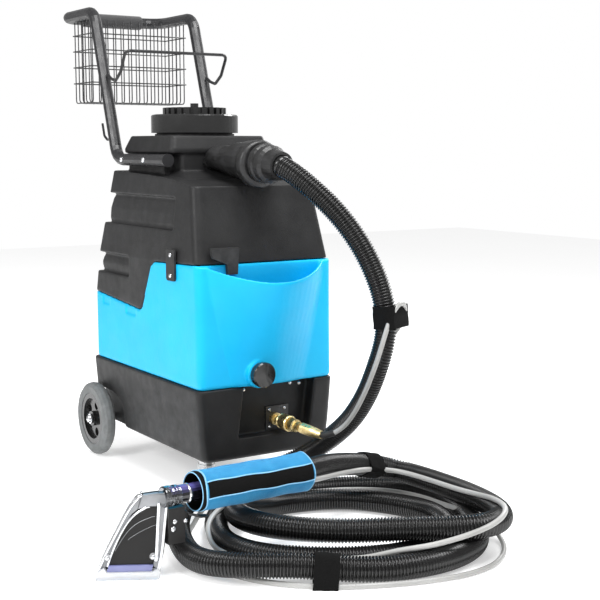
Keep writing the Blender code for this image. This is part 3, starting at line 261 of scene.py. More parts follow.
def metal(name, colour, roughness, brushed=0.0, tarnish=None):
    """Bare or plated metal, with fine scratches and, on brass, patches of tarnish."""
    material, tree, shader = new_material(name, roughness, 1.0)
    place = place_of(tree)
    patch = spread(tree, noise(tree, 70, 4, place), 0.45, 0.75, 0.0, 1.0)
    tree.links.new(blend_colours(tree, patch, colour, tarnish or colour), shader.inputs["Base Color"])
    uneven = spread(tree, noise(tree, 180, 3, place), 0.3, 0.7, roughness * 0.7, roughness * 1.5)
    tree.links.new(uneven, shader.inputs["Roughness"])
    bumped(tree, shader, noise(tree, 900, 2, place), 0.00008 + 0.0002 * brushed)
    return material


def smoky_tube_with_painted_reflection(name):
    """A smoked clear tube: near black, with a painted blue-violet reflection along its top, where the surface
    faces up.
    """
    material, tree, shader = new_material(name, 0.10)
    # Painted reflection: the base colour turns pale blue-violet where the tube's surface faces up.
    normal = new_node(tree, "ShaderNodeNewGeometry").outputs["Normal"]
    upward = new_node(tree, "ShaderNodeSeparateXYZ", {0: normal}).outputs["Z"]
    band = spread(tree, upward, 0.40, 0.90, 0.0, 1.0)
    tint = blend_colours(tree, band, (0.007, 0.007, 0.010), (0.110, 0.100, 0.330))
    tree.links.new(tint, shader.inputs["Base Color"])
    shader.inputs["Coat Weight"].default_value = 0.5
    bumped(tree, shader, noise(tree, 60), 0.0002)
    return material


def powder_coat(name):
    """Black powder-coated steel with its orange peel."""
    material, tree, shader = new_material(name, 0.30)
    place = place_of(tree)
    base = blend_colours(tree, noise(tree, 20, 3, place), (0.010, 0.010, 0.011), (0.022, 0.022, 0.024))
    tree.links.new(
        blend_colours(tree, edge_wear(tree, 0.60, 0.75), base, (0.04, 0.04, 0.04)),
        shader.inputs["Base Color"],
    )
    tree.links.new(spread(tree, noise(tree, 45, 3, place), 0.3, 0.7, 0.24, 0.40), shader.inputs["Roughness"])
    bumped(tree, shader, noise(tree, 620, 2, place), 0.00022)
    return material


def rubber(name, dark, light, roughness=0.7):
    """Rubber with dust in its grain."""
    material, tree, shader = new_material(name, roughness)
    place = place_of(tree)
    dust = spread(tree, noise(tree, 48, 6, place), 0.40, 0.72, 0.0, 1.0)
    tree.links.new(blend_colours(tree, dust, dark, light), shader.inputs["Base Color"])
    tree.links.new(
        spread(tree, dust, 0.0, 1.0, roughness - 0.08, roughness + 0.12), shader.inputs["Roughness"],
    )
    bumped(tree, shader, noise(tree, 750, 3, place), 0.00025)
    return material


def foam(name):
    """Closed-cell foam: open pores over a soft dark skin."""
    material, tree, shader = new_material(name, 0.9)
    place = place_of(tree)
    pores = new_node(tree, "ShaderNodeTexVoronoi", {"Vector": place, "Scale": 620.0})
    share = spread(tree, pores.outputs["Distance"], 0.1, 0.6, 0.0, 1.0)
    tree.links.new(
        blend_colours(tree, share, (0.010, 0.010, 0.010), (0.050, 0.050, 0.052)),
        shader.inputs["Base Color"],
    )
    shader.inputs["Sheen Weight"].default_value = 0.3
    bumped(tree, shader, pores.outputs["Distance"], 0.0005)
    return material


def neoprene(name):
    """Knit-faced neoprene: fine ribs of knit over soft rubber, with a little sheen."""
    material, tree, shader = new_material(name, 0.72)
    place = place_of(tree)
    soft = spread(tree, noise(tree, 30, 4, place), 0.35, 0.65, 0.0, 1.0)
    base = blend_colours(tree, soft, (0.022, 0.250, 0.520), (0.040, 0.320, 0.610))
    knit = new_node(
        tree, "ShaderNodeTexWave", {"Vector": place, "Scale": 420.0, "Distortion": 0.6, "Detail": 1.0},
    )
    rows = new_node(
        tree, "ShaderNodeTexWave", {"Vector": place, "Scale": 300.0, "Distortion": 0.6}, bands_direction="Z"
    )
    weave = new_node(
        tree, "ShaderNodeMath", {0: knit.outputs["Fac"], 1: rows.outputs["Fac"]}, operation="MULTIPLY",
    )
    shade = spread(tree, weave.outputs[0], 0.0, 1.0, 0.0, 0.35)
    tree.links.new(blend_colours(tree, shade, base, (0.016, 0.200, 0.450)), shader.inputs["Base Color"])
    shader.inputs["Specular IOR Level"].default_value = 0.2
    shader.inputs["Sheen Weight"].default_value = 0.15
    shader.inputs["Sheen Roughness"].default_value = 0.4
    bumped(tree, shader, weave.outputs[0], 0.0003)
    return material


def loop_fabric(name):
    """Black hook-and-loop tape: a matted pile."""
    material, tree, shader = new_material(name, 0.95)
    place = place_of(tree)
    pile = noise(tree, 900, 6, place, 0.7)
    share = spread(tree, pile, 0.35, 0.70, 0.0, 1.0)
    tree.links.new(
        blend_colours(tree, share, (0.003, 0.003, 0.003), (0.013, 0.013, 0.013)),
        shader.inputs["Base Color"],
    )
    shader.inputs["Specular IOR Level"].default_value = 0.1
    bumped(tree, shader, pile, 0.0009)
    return material


def clear_plastic(name, tint=(0.92, 0.94, 0.97), roughness=0.05, share=1.0):
    """Clear moulded plastic with faint flow marks."""
    material, tree, shader = new_material(name, roughness)
    place = place_of(tree)
    flow = noise(tree, 35, 4, place)
    tree.links.new(
        blend_colours(tree, flow, tint, tuple(c * 0.94 for c in tint)), shader.inputs["Base Color"],
    )
    shader.inputs["Transmission Weight"].default_value = share
    shader.inputs["IOR"].default_value = 1.49
    bumped(tree, shader, flow, 0.0006)
    return material


MATERIALS = {
    "tank_black": pebbled_plastic("tank_black", (0.013, 0.013, 0.0135), (0.021, 0.021, 0.0215), 0.46),
    "base_black": pebbled_plastic("base_black", (0.010, 0.010, 0.0105), (0.017, 0.017, 0.0175), 0.44, 640),
    "tank_blue": smooth_plastic(
        "tank_blue", (0.002, 0.480, 0.880), (0.004, 0.540, 0.940), 0.40, 120, 0.0004, 0.0, 0.3,
    ),
    "gloss_black": smooth_plastic(
        "gloss_black", (0.008, 0.008, 0.008), (0.016, 0.016, 0.016), 0.20, 90, 0.0002, 0.3,
    ),
    "boot_rubber": rubber("boot_rubber", (0.012, 0.012, 0.012), (0.026, 0.026, 0.027), 0.42),
    "rubber": rubber("rubber", (0.012, 0.012, 0.012), (0.040, 0.040, 0.040)),
    "tyre_grey": rubber("tyre_grey", (0.140, 0.147, 0.147), (0.225, 0.233, 0.233), 0.66),
    "hose_black": smooth_plastic(
        "hose_black", (0.005, 0.005, 0.005), (0.012, 0.012, 0.012), 0.20, 300, 0.0001,
    ),
    "hose_grey": smooth_plastic("hose_grey", (0.330, 0.330, 0.320), (0.460, 0.460, 0.450), 0.34, 260, 0.0001),
    "tube_smoke_painted_reflection": smoky_tube_with_painted_reflection("tube_smoke_painted_reflection"),
    "chrome": metal("chrome", (0.80, 0.81, 0.83), 0.12, 0.0, (0.66, 0.67, 0.69)),
    "steel": metal("steel", (0.60, 0.60, 0.60), 0.30, 0.6, (0.45, 0.45, 0.45)),
    "brass": metal("brass", (0.95, 0.76, 0.38), 0.30, 0.3, (0.78, 0.58, 0.26)),
    "powder_coat": powder_coat("powder_coat"),
    "foam": foam("foam"),
    "neoprene": neoprene("neoprene"),
    "piping": rubber("piping", (0.240, 0.560, 0.860), (0.300, 0.640, 0.920), 0.55),
    "loop_tape": loop_fabric("loop_tape"),
    "clear": clear_plastic("clear"),
    "frosted": clear_plastic("frosted", (0.95, 0.96, 0.98), 0.22, 0.55),
    "smoked": smooth_plastic(
        "smoked", (0.005, 0.005, 0.005), (0.013, 0.012, 0.012), 0.34, 60, 0.0003, 0.0, 0.3,
    ),
    "clear_edge": smooth_plastic(
        "clear_edge", (0.110, 0.115, 0.120), (0.380, 0.390, 0.410), 0.14, 60, 0.0005, 0.5,
    ),
    "tint_blue": smooth_plastic(
        "tint_blue", (0.130, 0.140, 0.330), (0.260, 0.280, 0.520), 0.10, 80, 0.0003, 0.5,
    ),
    "switch_red": smooth_plastic(
        "switch_red", (0.420, 0.012, 0.008), (0.560, 0.020, 0.012), 0.28, 200, 0.0001, 0.4,
    ),
}

NODE_FINISHES = {
    "base_pan": "base_black", "recovery_tank": "tank_black", "solution_tank": "tank_blue",
    "lid_collar": "tank_black", "lid_cap": "gloss_black", "lid_gasket": "rubber",
    "drain_cap": "gloss_black", "drain_seal": "rubber", "fitting_plate": "powder_coat",
    "bulkhead_fitting": "brass", "coupler_sleeve": "brass", "coupler_body": "brass",
    "axle": "steel", "axle_nut_left": "chrome", "axle_nut_right": "chrome",
    "hub_left": "gloss_black", "hub_right": "gloss_black", "tyre_left": "tyre_grey",
    "tyre_right": "tyre_grey", "caster_plate_left": "steel", "caster_plate_right": "steel",
    "caster_fork_left": "steel", "caster_fork_right": "steel", "caster_wheel_left": "rubber",
    "caster_wheel_right": "rubber", "vacuum_motor": "base_black", "motor_fan": "steel",
    "pump": "base_black", "heater": "steel", "switch_plate": "powder_coat",
    "rocker_1": "switch_red", "rocker_2": "switch_red", "rocker_3": "switch_red",
    "power_inlet": "gloss_black", "air_pipe": "base_black", "float_ring": "frosted",
    "strap_left": "rubber", "strap_right": "rubber", "strap_front": "rubber",
    "handle_frame": "powder_coat", "handle_grip": "foam", "hose_rack": "powder_coat",
    "cord_hook_left": "powder_coat", "cord_hook_right": "powder_coat", "hose_port": "boot_rubber",
    "hose_cuff": "boot_rubber", "tool_tube": "tube_smoke_painted_reflection", "tool_valve": "smoked",
    "tool_trigger": "gloss_black",
}


def finish_nodes():
    for name, finish in NODE_FINISHES.items():
        obj = nodes_of_cad[name]
        obj.data.materials.clear()
        obj.data.materials.append(MATERIALS[finish])


def soften(name, voxel, rounds, keep=0.35):
    """Rounds a moulded part's edges as its mould does."""
    obj = nodes_of_cad[name]
    remesh = obj.modifiers.new("skin", "REMESH")
    remesh.mode = "VOXEL"
    remesh.voxel_size = voxel
    remesh.use_smooth_shade = True
    smooth = obj.modifiers.new("round", "SMOOTH")
    smooth.factor = 0.5
    smooth.iterations = rounds
    thin = obj.modifiers.new("thin", "DECIMATE")
    thin.ratio = keep


# ---------------------------------------------------------------- geometry helpers

def object_from(name, shape, smooth=False):
    mesh = bpy.data.meshes.new(name)
    shape.normal_update()
    bmesh.ops.recalc_face_normals(shape, faces=shape.faces)
    shape.to_mesh(mesh)
    shape.free()
    obj = bpy.data.objects.new(name, mesh)
    bpy.context.scene.collection.objects.link(obj)
    if smooth:
        obj.data.shade_smooth()
        obj.data.set_sharp_from_angle(angle=math.radians(40))
    return obj


def finished(obj, finish, body=MACHINE):
    obj.data.materials.clear()
    obj.data.materials.append(MATERIALS[finish])
    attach(obj, body)
    return obj


def forward(points):
    """Points given from the base's front face, moved to the machine's frame."""
    return [(x, y + FRONT, z) for x, y, z in points]


def smooth_route(points, spacing, rounds):
    """Evenly spaced points along a smooth curve near the given points."""
    points = np.array(points, float)
    padded = np.vstack([2 * points[0] - points[1], points, 2 * points[-1] - points[-2]])
    fine = []
    steps = np.linspace(0, 1, 20, endpoint=False)[:, None]
    for a, b, c, d in zip(padded, padded[1:], padded[2:], padded[3:]):
        bend = (2 * a - 5 * b + 4 * c - d) * steps ** 2
        twist = (3 * b - a - 3 * c + d) * steps ** 3
        fine.append((2 * b + (c - a) * steps + bend + twist) / 2)
    fine = np.vstack([*fine, points[-1:]])
    even = resampled(fine, 0.006)
    for _ in range(rounds):
        even[2:-2] = (even[:-4] + even[1:-3] + even[2:-2] + even[3:-1] + even[4:]) / 5
    return resampled(even, spacing)


def resampled(points, spacing):
    steps = np.linalg.norm(np.diff(points, axis=0), axis=1)
    along = np.concatenate([[0], np.cumsum(steps)])
    count = max(2, int(round(along[-1] / spacing)) + 1)
    targets = np.linspace(0, along[-1], count)
    return np.stack([np.interp(targets, along, points[:, k]) for k in range(3)], axis=1)


def frames_along(points):
    """Two directions across the path at each point, carried along it without twisting."""
    ahead = np.gradient(points, axis=0)
    ahead /= np.linalg.norm(ahead, axis=1)[:, None]
    start = np.array((0.0, 0.0, 1.0)) if abs(ahead[0][2]) < 0.9 else np.array((1.0, 0.0, 0.0))
    across = np.empty_like(points)
    current = start
    for k, direction in enumerate(ahead):
        current = current - direction * np.dot(current, direction)
        current /= np.linalg.norm(current)
        across[k] = current
    return across, np.cross(ahead, across)


def tube(name, points, radii, sides, closed_ends=True):
    """A round tube with a radius for each point of its path."""
    points = np.asarray(points, float)
    radii = np.broadcast_to(radii, len(points))
    across, other = frames_along(points)
    angles = np.arange(sides) * FULL_TURN / sides
    ring = np.cos(angles)[None, :, None] * across[:, None] + np.sin(angles)[None, :, None] * other[:, None]
    verts = points[:, None] + ring * radii[:, None, None]
    index = np.arange(len(points) * sides).reshape(len(points), sides)
    after = np.roll(index, -1, axis=1)
    quads = np.stack([index[:-1], after[:-1], after[1:], index[1:]], axis=-1).reshape(-1, 4).tolist()
    if closed_ends:
        quads += [index[0][::-1].tolist(), index[-1].tolist()]
    mesh = bpy.data.meshes.new(name)
    mesh.from_pydata(verts.reshape(-1, 3).tolist(), [], quads)
    mesh.shade_smooth()
    obj = bpy.data.objects.new(name, mesh)
    bpy.context.scene.collection.objects.link(obj)
    return obj


def turned_piece(name, profile, start, axis, sides=32):
    """A closed outline of (radius, distance along) turned round an axis from its start."""
    axis = Vector(axis).normalized()
    turn = Vector((0, 0, 1)).rotation_difference(axis).to_matrix().to_4x4()
    shape = bmesh.new()
    rings = []
    for radius, along in profile:
        ring = []
        for k in range(sides):
            angle = FULL_TURN * k / sides
            ring.append(shape.verts.new((radius * math.cos(angle), radius * math.sin(angle), along)))
        rings.append(ring)
    for first, second in zip(rings, rings[1:] + rings[:1]):
        for k in range(sides):
            j = (k + 1) % sides
            shape.faces.new((first[k], first[j], second[j], second[k]))
    shape.transform(Matrix.Translation(start) @ turn)
    return object_from(name, shape, True)


def screw_head(name, place, axis, radius, body=MACHINE, finish="chrome"):
    """A pan-head screw: a domed head with a cross recess."""
    axis = Vector(axis).normalized()
    turn = Vector((0, 0, 1)).rotation_difference(axis).to_matrix().to_4x4()
    shape = bmesh.new()
    sides, levels = 20, 5
    rings = []
    for k in range(levels):
        share = k / (levels - 1)
        reach = radius * math.cos(share * math.pi / 2.6)
        height = radius * 0.62 * math.sin(share * math.pi / 2.6)
        ring = []
        for i in range(sides):
            angle = FULL_TURN * i / sides
            ring.append(shape.verts.new((reach * math.cos(angle), reach * math.sin(angle), height)))
        rings.append(ring)
    for first, second in zip(rings, rings[1:]):
        for i in range(sides):
            j = (i + 1) % sides
            shape.faces.new((first[i], first[j], second[j], second[i]))
    lid = shape.faces.new(rings[-1])
    bmesh.ops.inset_individual(shape, faces=[lid], thickness=radius * 0.10)
    cross = []
    arm, half = radius * 0.36, radius * 0.10
    bmesh.ops.delete(shape, geom=[lid], context="FACES")
    edge_ring = [v for v in shape.verts if len(v.link_faces) < 4 and v.co.z > radius * 0.3]
    top = max(v.co.z for v in edge_ring)
    rim = sorted((v for v in edge_ring if abs(v.co.z - top) < 1e-7), key=lambda v: math.atan2(v.co.y, v.co.x))
    corners = (
        (half, arm), (-half, arm), (-half, half), (-arm, half), (-arm, -half), (-half, -half),
        (-half, -arm), (half, -arm), (half, -half), (arm, -half), (arm, half), (half, half),
    )
    for depth in (top, top - radius * 0.35):
        cross.append([shape.verts.new((x, y, depth)) for x, y in corners])
    count = len(corners)
    for i in range(count):
        j = (i + 1) % count
        shape.faces.new((cross[0][i], cross[0][j], cross[1][j], cross[1][i]))
    shape.faces.new(cross[1])
    edges = []
    for loop in (rim, cross[0]):
        for i in range(len(loop)):
            pair = (loop[i], loop[(i + 1) % len(loop)])
            edges.append(shape.edges.get(pair) or shape.edges.new(pair))
    bmesh.ops.triangle_fill(shape, edges=edges, use_beauty=True)
    shape.transform(Matrix.Translation(place) @ turn)
    return finished(object_from(name, shape, True), finish, body)


# ---------------------------------------------------------------- hoses

def vacuum_route():
    """Cuff, drop, down behind the tool, three turns on the floor, and up into the wrap."""
    return forward([
        (0.0036, -0.0430, 0.7120), (0.0041, -0.0520, 0.7113), (0.0070, -0.0640, 0.7080),
        (0.0160, -0.0810, 0.6960), (0.0340, -0.1060, 0.6720), (0.0620, -0.1420, 0.6340),
        (0.0900, -0.1800, 0.5820), (0.1120, -0.2100, 0.5250), (0.1270, -0.2300, 0.4700),
        (0.1360, -0.2400, 0.4190), (0.1340, -0.2440, 0.3600), (0.1226, -0.2380, 0.3160),
        (0.1180, -0.2120, 0.2533), (0.1121, -0.1780, 0.2008), (0.1061, -0.1430, 0.1620),
        (0.0836, -0.1080, 0.1250), (0.0388, -0.0820, 0.0900), (-0.0186, -0.0680, 0.0680),
        (-0.0860, -0.0640, 0.0580), (-0.1600, -0.0700, 0.0600), (-0.2400, -0.1100, 0.0600),
        (-0.3100, -0.1750, 0.0500), (-0.3550, -0.2550, 0.0360),
        # The first turn, on the floor and outermost at the front
        (-0.3780, -0.3450, 0.0250), (-0.3700, -0.4050, 0.0280), (-0.3300, -0.4620, 0.0335),
        (-0.2450, -0.5160, 0.0330), (-0.1860, -0.5540, 0.0265), (-0.1170, -0.5880, 0.0235),
        (-0.0500, -0.6030, 0.0235), (0.0200, -0.6020, 0.0235), (0.0970, -0.5720, 0.0235),
        (0.1500, -0.5150, 0.0235), (0.1900, -0.4500, 0.0235), (0.2280, -0.3640, 0.0235),
        (0.2440, -0.2920, 0.0235), (0.2330, -0.2350, 0.0235), (0.1960, -0.1850, 0.0235),
        (0.1300, -0.1400, 0.0235), (0.0300, -0.1080, 0.0235), (-0.0600, -0.1000, 0.0235),
        (-0.1500, -0.1130, 0.0235), (-0.2200, -0.1620, 0.0235),
        # The second turn, on the floor inside the first
        (-0.2620, -0.2350, 0.0235), (-0.2880, -0.3150, 0.0235), (-0.2750, -0.3950, 0.0235),
        (-0.2250, -0.4530, 0.0235), (-0.1550, -0.5030, 0.0235), (-0.0800, -0.5380, 0.0235),
        (0.0000, -0.5460, 0.0235), (0.0700, -0.5200, 0.0235), (0.1220, -0.4650, 0.0235),
        (0.1500, -0.3980, 0.0235), (0.1510, -0.3500, 0.0235), (0.1300, -0.3000, 0.0235),
        (0.0990, -0.2450, 0.0235), (0.0450, -0.1980, 0.0235), (-0.0230, -0.1680, 0.0235),
        (-0.1000, -0.1640, 0.0260), (-0.1750, -0.1930, 0.0430),
        # The top turn, nearly straight along the front, and round to the wrap
        (-0.2260, -0.2420, 0.0580), (-0.2480, -0.3000, 0.0630), (-0.2380, -0.3650, 0.0640),
        (-0.1950, -0.4250, 0.0640), (-0.1400, -0.4740, 0.0640), (-0.0550, -0.5310, 0.0680),
        (0.0200, -0.5790, 0.0700), (0.0650, -0.6040, 0.0710), (0.1130, -0.6110, 0.0710),
        (0.1560, -0.5800, 0.0700), (0.1830, -0.5250, 0.0690), (0.1960, -0.4600, 0.0690),
        (0.2000, -0.3950, 0.0690), (0.1960, -0.3300, 0.0700), (0.1830, -0.2720, 0.0740),
        (0.1500, -0.2350, 0.0830), (0.0950, -0.2330, 0.0980), (0.0300, -0.2600, 0.1150),
        (-0.0400, -0.2990, 0.1320), (-0.0950, -0.3330, 0.1430), (-0.1400, -0.3510, 0.1460),
    ])


def grey_route():
    """Coupler, up to the first tie, back down, once round the floor, once over the turns, and to the wrap."""
    return forward([
        (0.0512, -0.1290, 0.1456), (0.0525, -0.1326, 0.1450), (0.0633, -0.1450, 0.1466),
        (0.0765, -0.1630, 0.1600), (0.0830, -0.1930, 0.1900), (0.0863, -0.2280, 0.2379),
        (0.0907, -0.2550, 0.2902), (0.1001, -0.2690, 0.3389), (0.1130, -0.2730, 0.3836),
        (0.1300, -0.2720, 0.4188), (0.1500, -0.2660, 0.4350), (0.1771, -0.2500, 0.4300),
        (0.1893, -0.2360, 0.4064), (0.1874, -0.2220, 0.3795), (0.1650, -0.2130, 0.3500),
        (0.1480, -0.2050, 0.3140), (0.1400, -0.1800, 0.2510), (0.1330, -0.1480, 0.1990),
        (0.1219, -0.1150, 0.1580), (0.1000, -0.0800, 0.1180), (0.0550, -0.0540, 0.0850),
        (-0.0030, -0.0400, 0.0600), (-0.0700, -0.0360, 0.0400), (-0.1400, -0.0500, 0.0300),
        (-0.2100, -0.0900, 0.0200), (-0.2700, -0.1500, 0.0080),
        # Under the descending hose, inside the first turn at the left, then out beneath it
        (-0.3240, -0.2200, 0.0070), (-0.3420, -0.2800, 0.0055), (-0.3440, -0.3450, 0.0055),
        (-0.3380, -0.4100, 0.0055), (-0.3180, -0.4620, 0.0055), (-0.2880, -0.5050, 0.0055),
        (-0.2480, -0.5450, 0.0055),
        # Round the floor outside the first turn
        (-0.1980, -0.5800, 0.0055), (-0.1130, -0.6180, 0.0055), (-0.0460, -0.6370, 0.0055),
        (0.0200, -0.6460, 0.0055), (0.0900, -0.6320, 0.0055), (0.1520, -0.5900, 0.0055),
        (0.1960, -0.5300, 0.0080), (0.2050, -0.4800, 0.0250),
        # Down between the turns and back round the rear
        (0.1920, -0.4250, 0.0340), (0.1930, -0.3600, 0.0300), (0.1870, -0.2900, 0.0300),
        (0.1550, -0.2200, 0.0300), (0.0900, -0.1700, 0.0300), (0.0100, -0.1400, 0.0300),
        (-0.0800, -0.1320, 0.0360), (-0.1500, -0.1460, 0.0480), (-0.2120, -0.1880, 0.0560),
        (-0.2820, -0.2400, 0.0420), (-0.3150, -0.3200, 0.0240), (-0.3020, -0.3980, 0.0220),
        # Along the front between the bottom turns, then out and over the top one
        (-0.2600, -0.4620, 0.0280), (-0.2000, -0.5060, 0.0330), (-0.1400, -0.5450, 0.0350),
        (-0.0850, -0.5780, 0.0480), (-0.0300, -0.6080, 0.0570), (0.0350, -0.6360, 0.0740),
        (0.0850, -0.6450, 0.0900), (0.1280, -0.6180, 0.0985), (0.1500, -0.5660, 0.0980),
        (0.1640, -0.5050, 0.0900), (0.1680, -0.4400, 0.0840), (0.1690, -0.3800, 0.0820),
        (0.1650, -0.3250, 0.0820), (0.1500, -0.2780, 0.0850), (0.1200, -0.2620, 0.0900),
        (0.0850, -0.2650, 0.0970), (0.0180, -0.2890, 0.1090), (-0.0500, -0.3280, 0.1210),
        (-0.1000, -0.3560, 0.1290), (-0.1400, -0.3720, 0.1330),
    ])


def ribbed_hose(name, route):
    """The corrugated hose: round crests with deep valleys between them."""
    points = smooth_route(route, RIB_PITCH / RIB_STEPS, HOSE_SMOOTHING)
    phase = np.arange(len(points)) % RIB_STEPS / RIB_STEPS
    valley = (0.5 - 0.5 * np.cos(phase * FULL_TURN)) ** 1.6
    return tube(name, points, HOSE_RADIUS - HOSE_VALLEY * valley, RIB_SIDES), points


def make_hoses():
    hose, route = ribbed_hose("vacuum_hose_ribbed", vacuum_route())
    finished(hose, "hose_black", MACHINE)
    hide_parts("vacuum_hose", "vacuum_hose_end", "hose_coil")
    grey_points = smooth_route(grey_route(), 0.004, GREY_SMOOTHING)
    grey = tube("solution_hose_sheath", grey_points, GREY_RADIUS, 14)
    finished(grey, "hose_grey", MACHINE)
    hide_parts("solution_hose")
    hoses = ((route, HOSE_RADIUS), (grey_points, GREY_RADIUS))
    sleeve = finished(tube("solution_hose_sleeve", grey_points[:9], GREY_RADIUS + 0.0020, 14), "rubber")
    for name, near, reach, width in TIES:
        tie(name, forward([near])[0], reach, width, hoses)


# ---------------------------------------------------------------- ties round the hoses

def tie(name, near, reach, width, hoses):
    """A hook-and-loop tie: a band drawn tight round every hose that passes within reach of a point."""
    route = np.asarray(hoses[0][0])
    k = int(np.linalg.norm(route - np.array(near), axis=1).argmin())
    centre = Vector(route[k])
    axis = (Vector(route[min(k + 3, len(route) - 1)]) - Vector(route[max(k - 3, 0)])).normalized()
    up = Vector((0, 0, 1)) if abs(axis.z) < 0.7 else Vector((0, -1, 0))
    side = axis.cross(up).normalized()
    up = side.cross(axis).normalized()
    circles = [(0.0, 0.0, hoses[0][1])]
    for points, radius in hoses:
        for point in np.asarray(points):
            away = Vector(point) - centre
            if abs(away.dot(axis)) < 0.003 and away.length < reach:
                circles.append((away.dot(side), away.dot(up), radius))
    shape = bmesh.new()
    sides, rows = 56, 6
    rings = []
    for layer in TIE_LAYERS:
        for row in range(rows + 1):
            along = (row / rows - 0.5) * width
            ring = []
            for i in range(sides):
                angle = FULL_TURN * i / sides
                c, s = math.cos(angle), math.sin(angle)
                x, y, r = max(circles, key=lambda circle: circle[0] * c + circle[1] * s + circle[2])
                out = r + layer + 0.0005 * math.sin(5 * angle + 1.7 * row)
                ring.append(
                    shape.verts.new(centre + side * (x + c * out) + up * (y + s * out) + axis * along),
                )
            rings.append(ring)
    join_rings(shape, rings[: rows + 1] + rings[rows + 1:][::-1])
    return finished(object_from(name, shape, True), "loop_tape")


# ---------------------------------------------------------------- hand tool

def head_point(along, height, out=0.0):
    """A point in the head's own plane: along it from its right edge, and out towards its clear front."""
    ahead = Vector((math.cos(HEAD_TURN), math.sin(HEAD_TURN), 0))
    facing = Vector((math.sin(HEAD_TURN), -math.cos(HEAD_TURN), 0))
    return Vector((HEAD_CORNER[0], FRONT + HEAD_CORNER[1], height)) + ahead * along + facing * out


def head_slab(name, outline, back, front, finish, bevel_width=0.0015):
    """A flat piece of the head: an outline of (along, height) between two depths."""
    shape = bmesh.new()
    rings = [[shape.verts.new(head_point(a, h, out)) for a, h in outline] for out in (back, front)]
    shape.faces.new(rings[0][::-1])
    shape.faces.new(rings[1])
    count = len(outline)
    for i in range(count):
        j = (i + 1) % count
        shape.faces.new((rings[0][i], rings[0][j], rings[1][j], rings[1][i]))
    obj = object_from(name, shape)
    made = obj.modifiers.new("edge", "BEVEL")
    made.width = bevel_width
    made.segments = 3
    made.limit_method = "ANGLE"
    obj.data.shade_smooth()
    obj.data.set_sharp_from_angle(angle=math.radians(50))
    return finished(obj, finish)


def head_bar(name, points, radius, out, finish):
    route = smooth_route([tuple(head_point(a, h, out)) for a, h in points], 0.0015, 6)
    return finished(tube(name, route, radius, 14), finish)


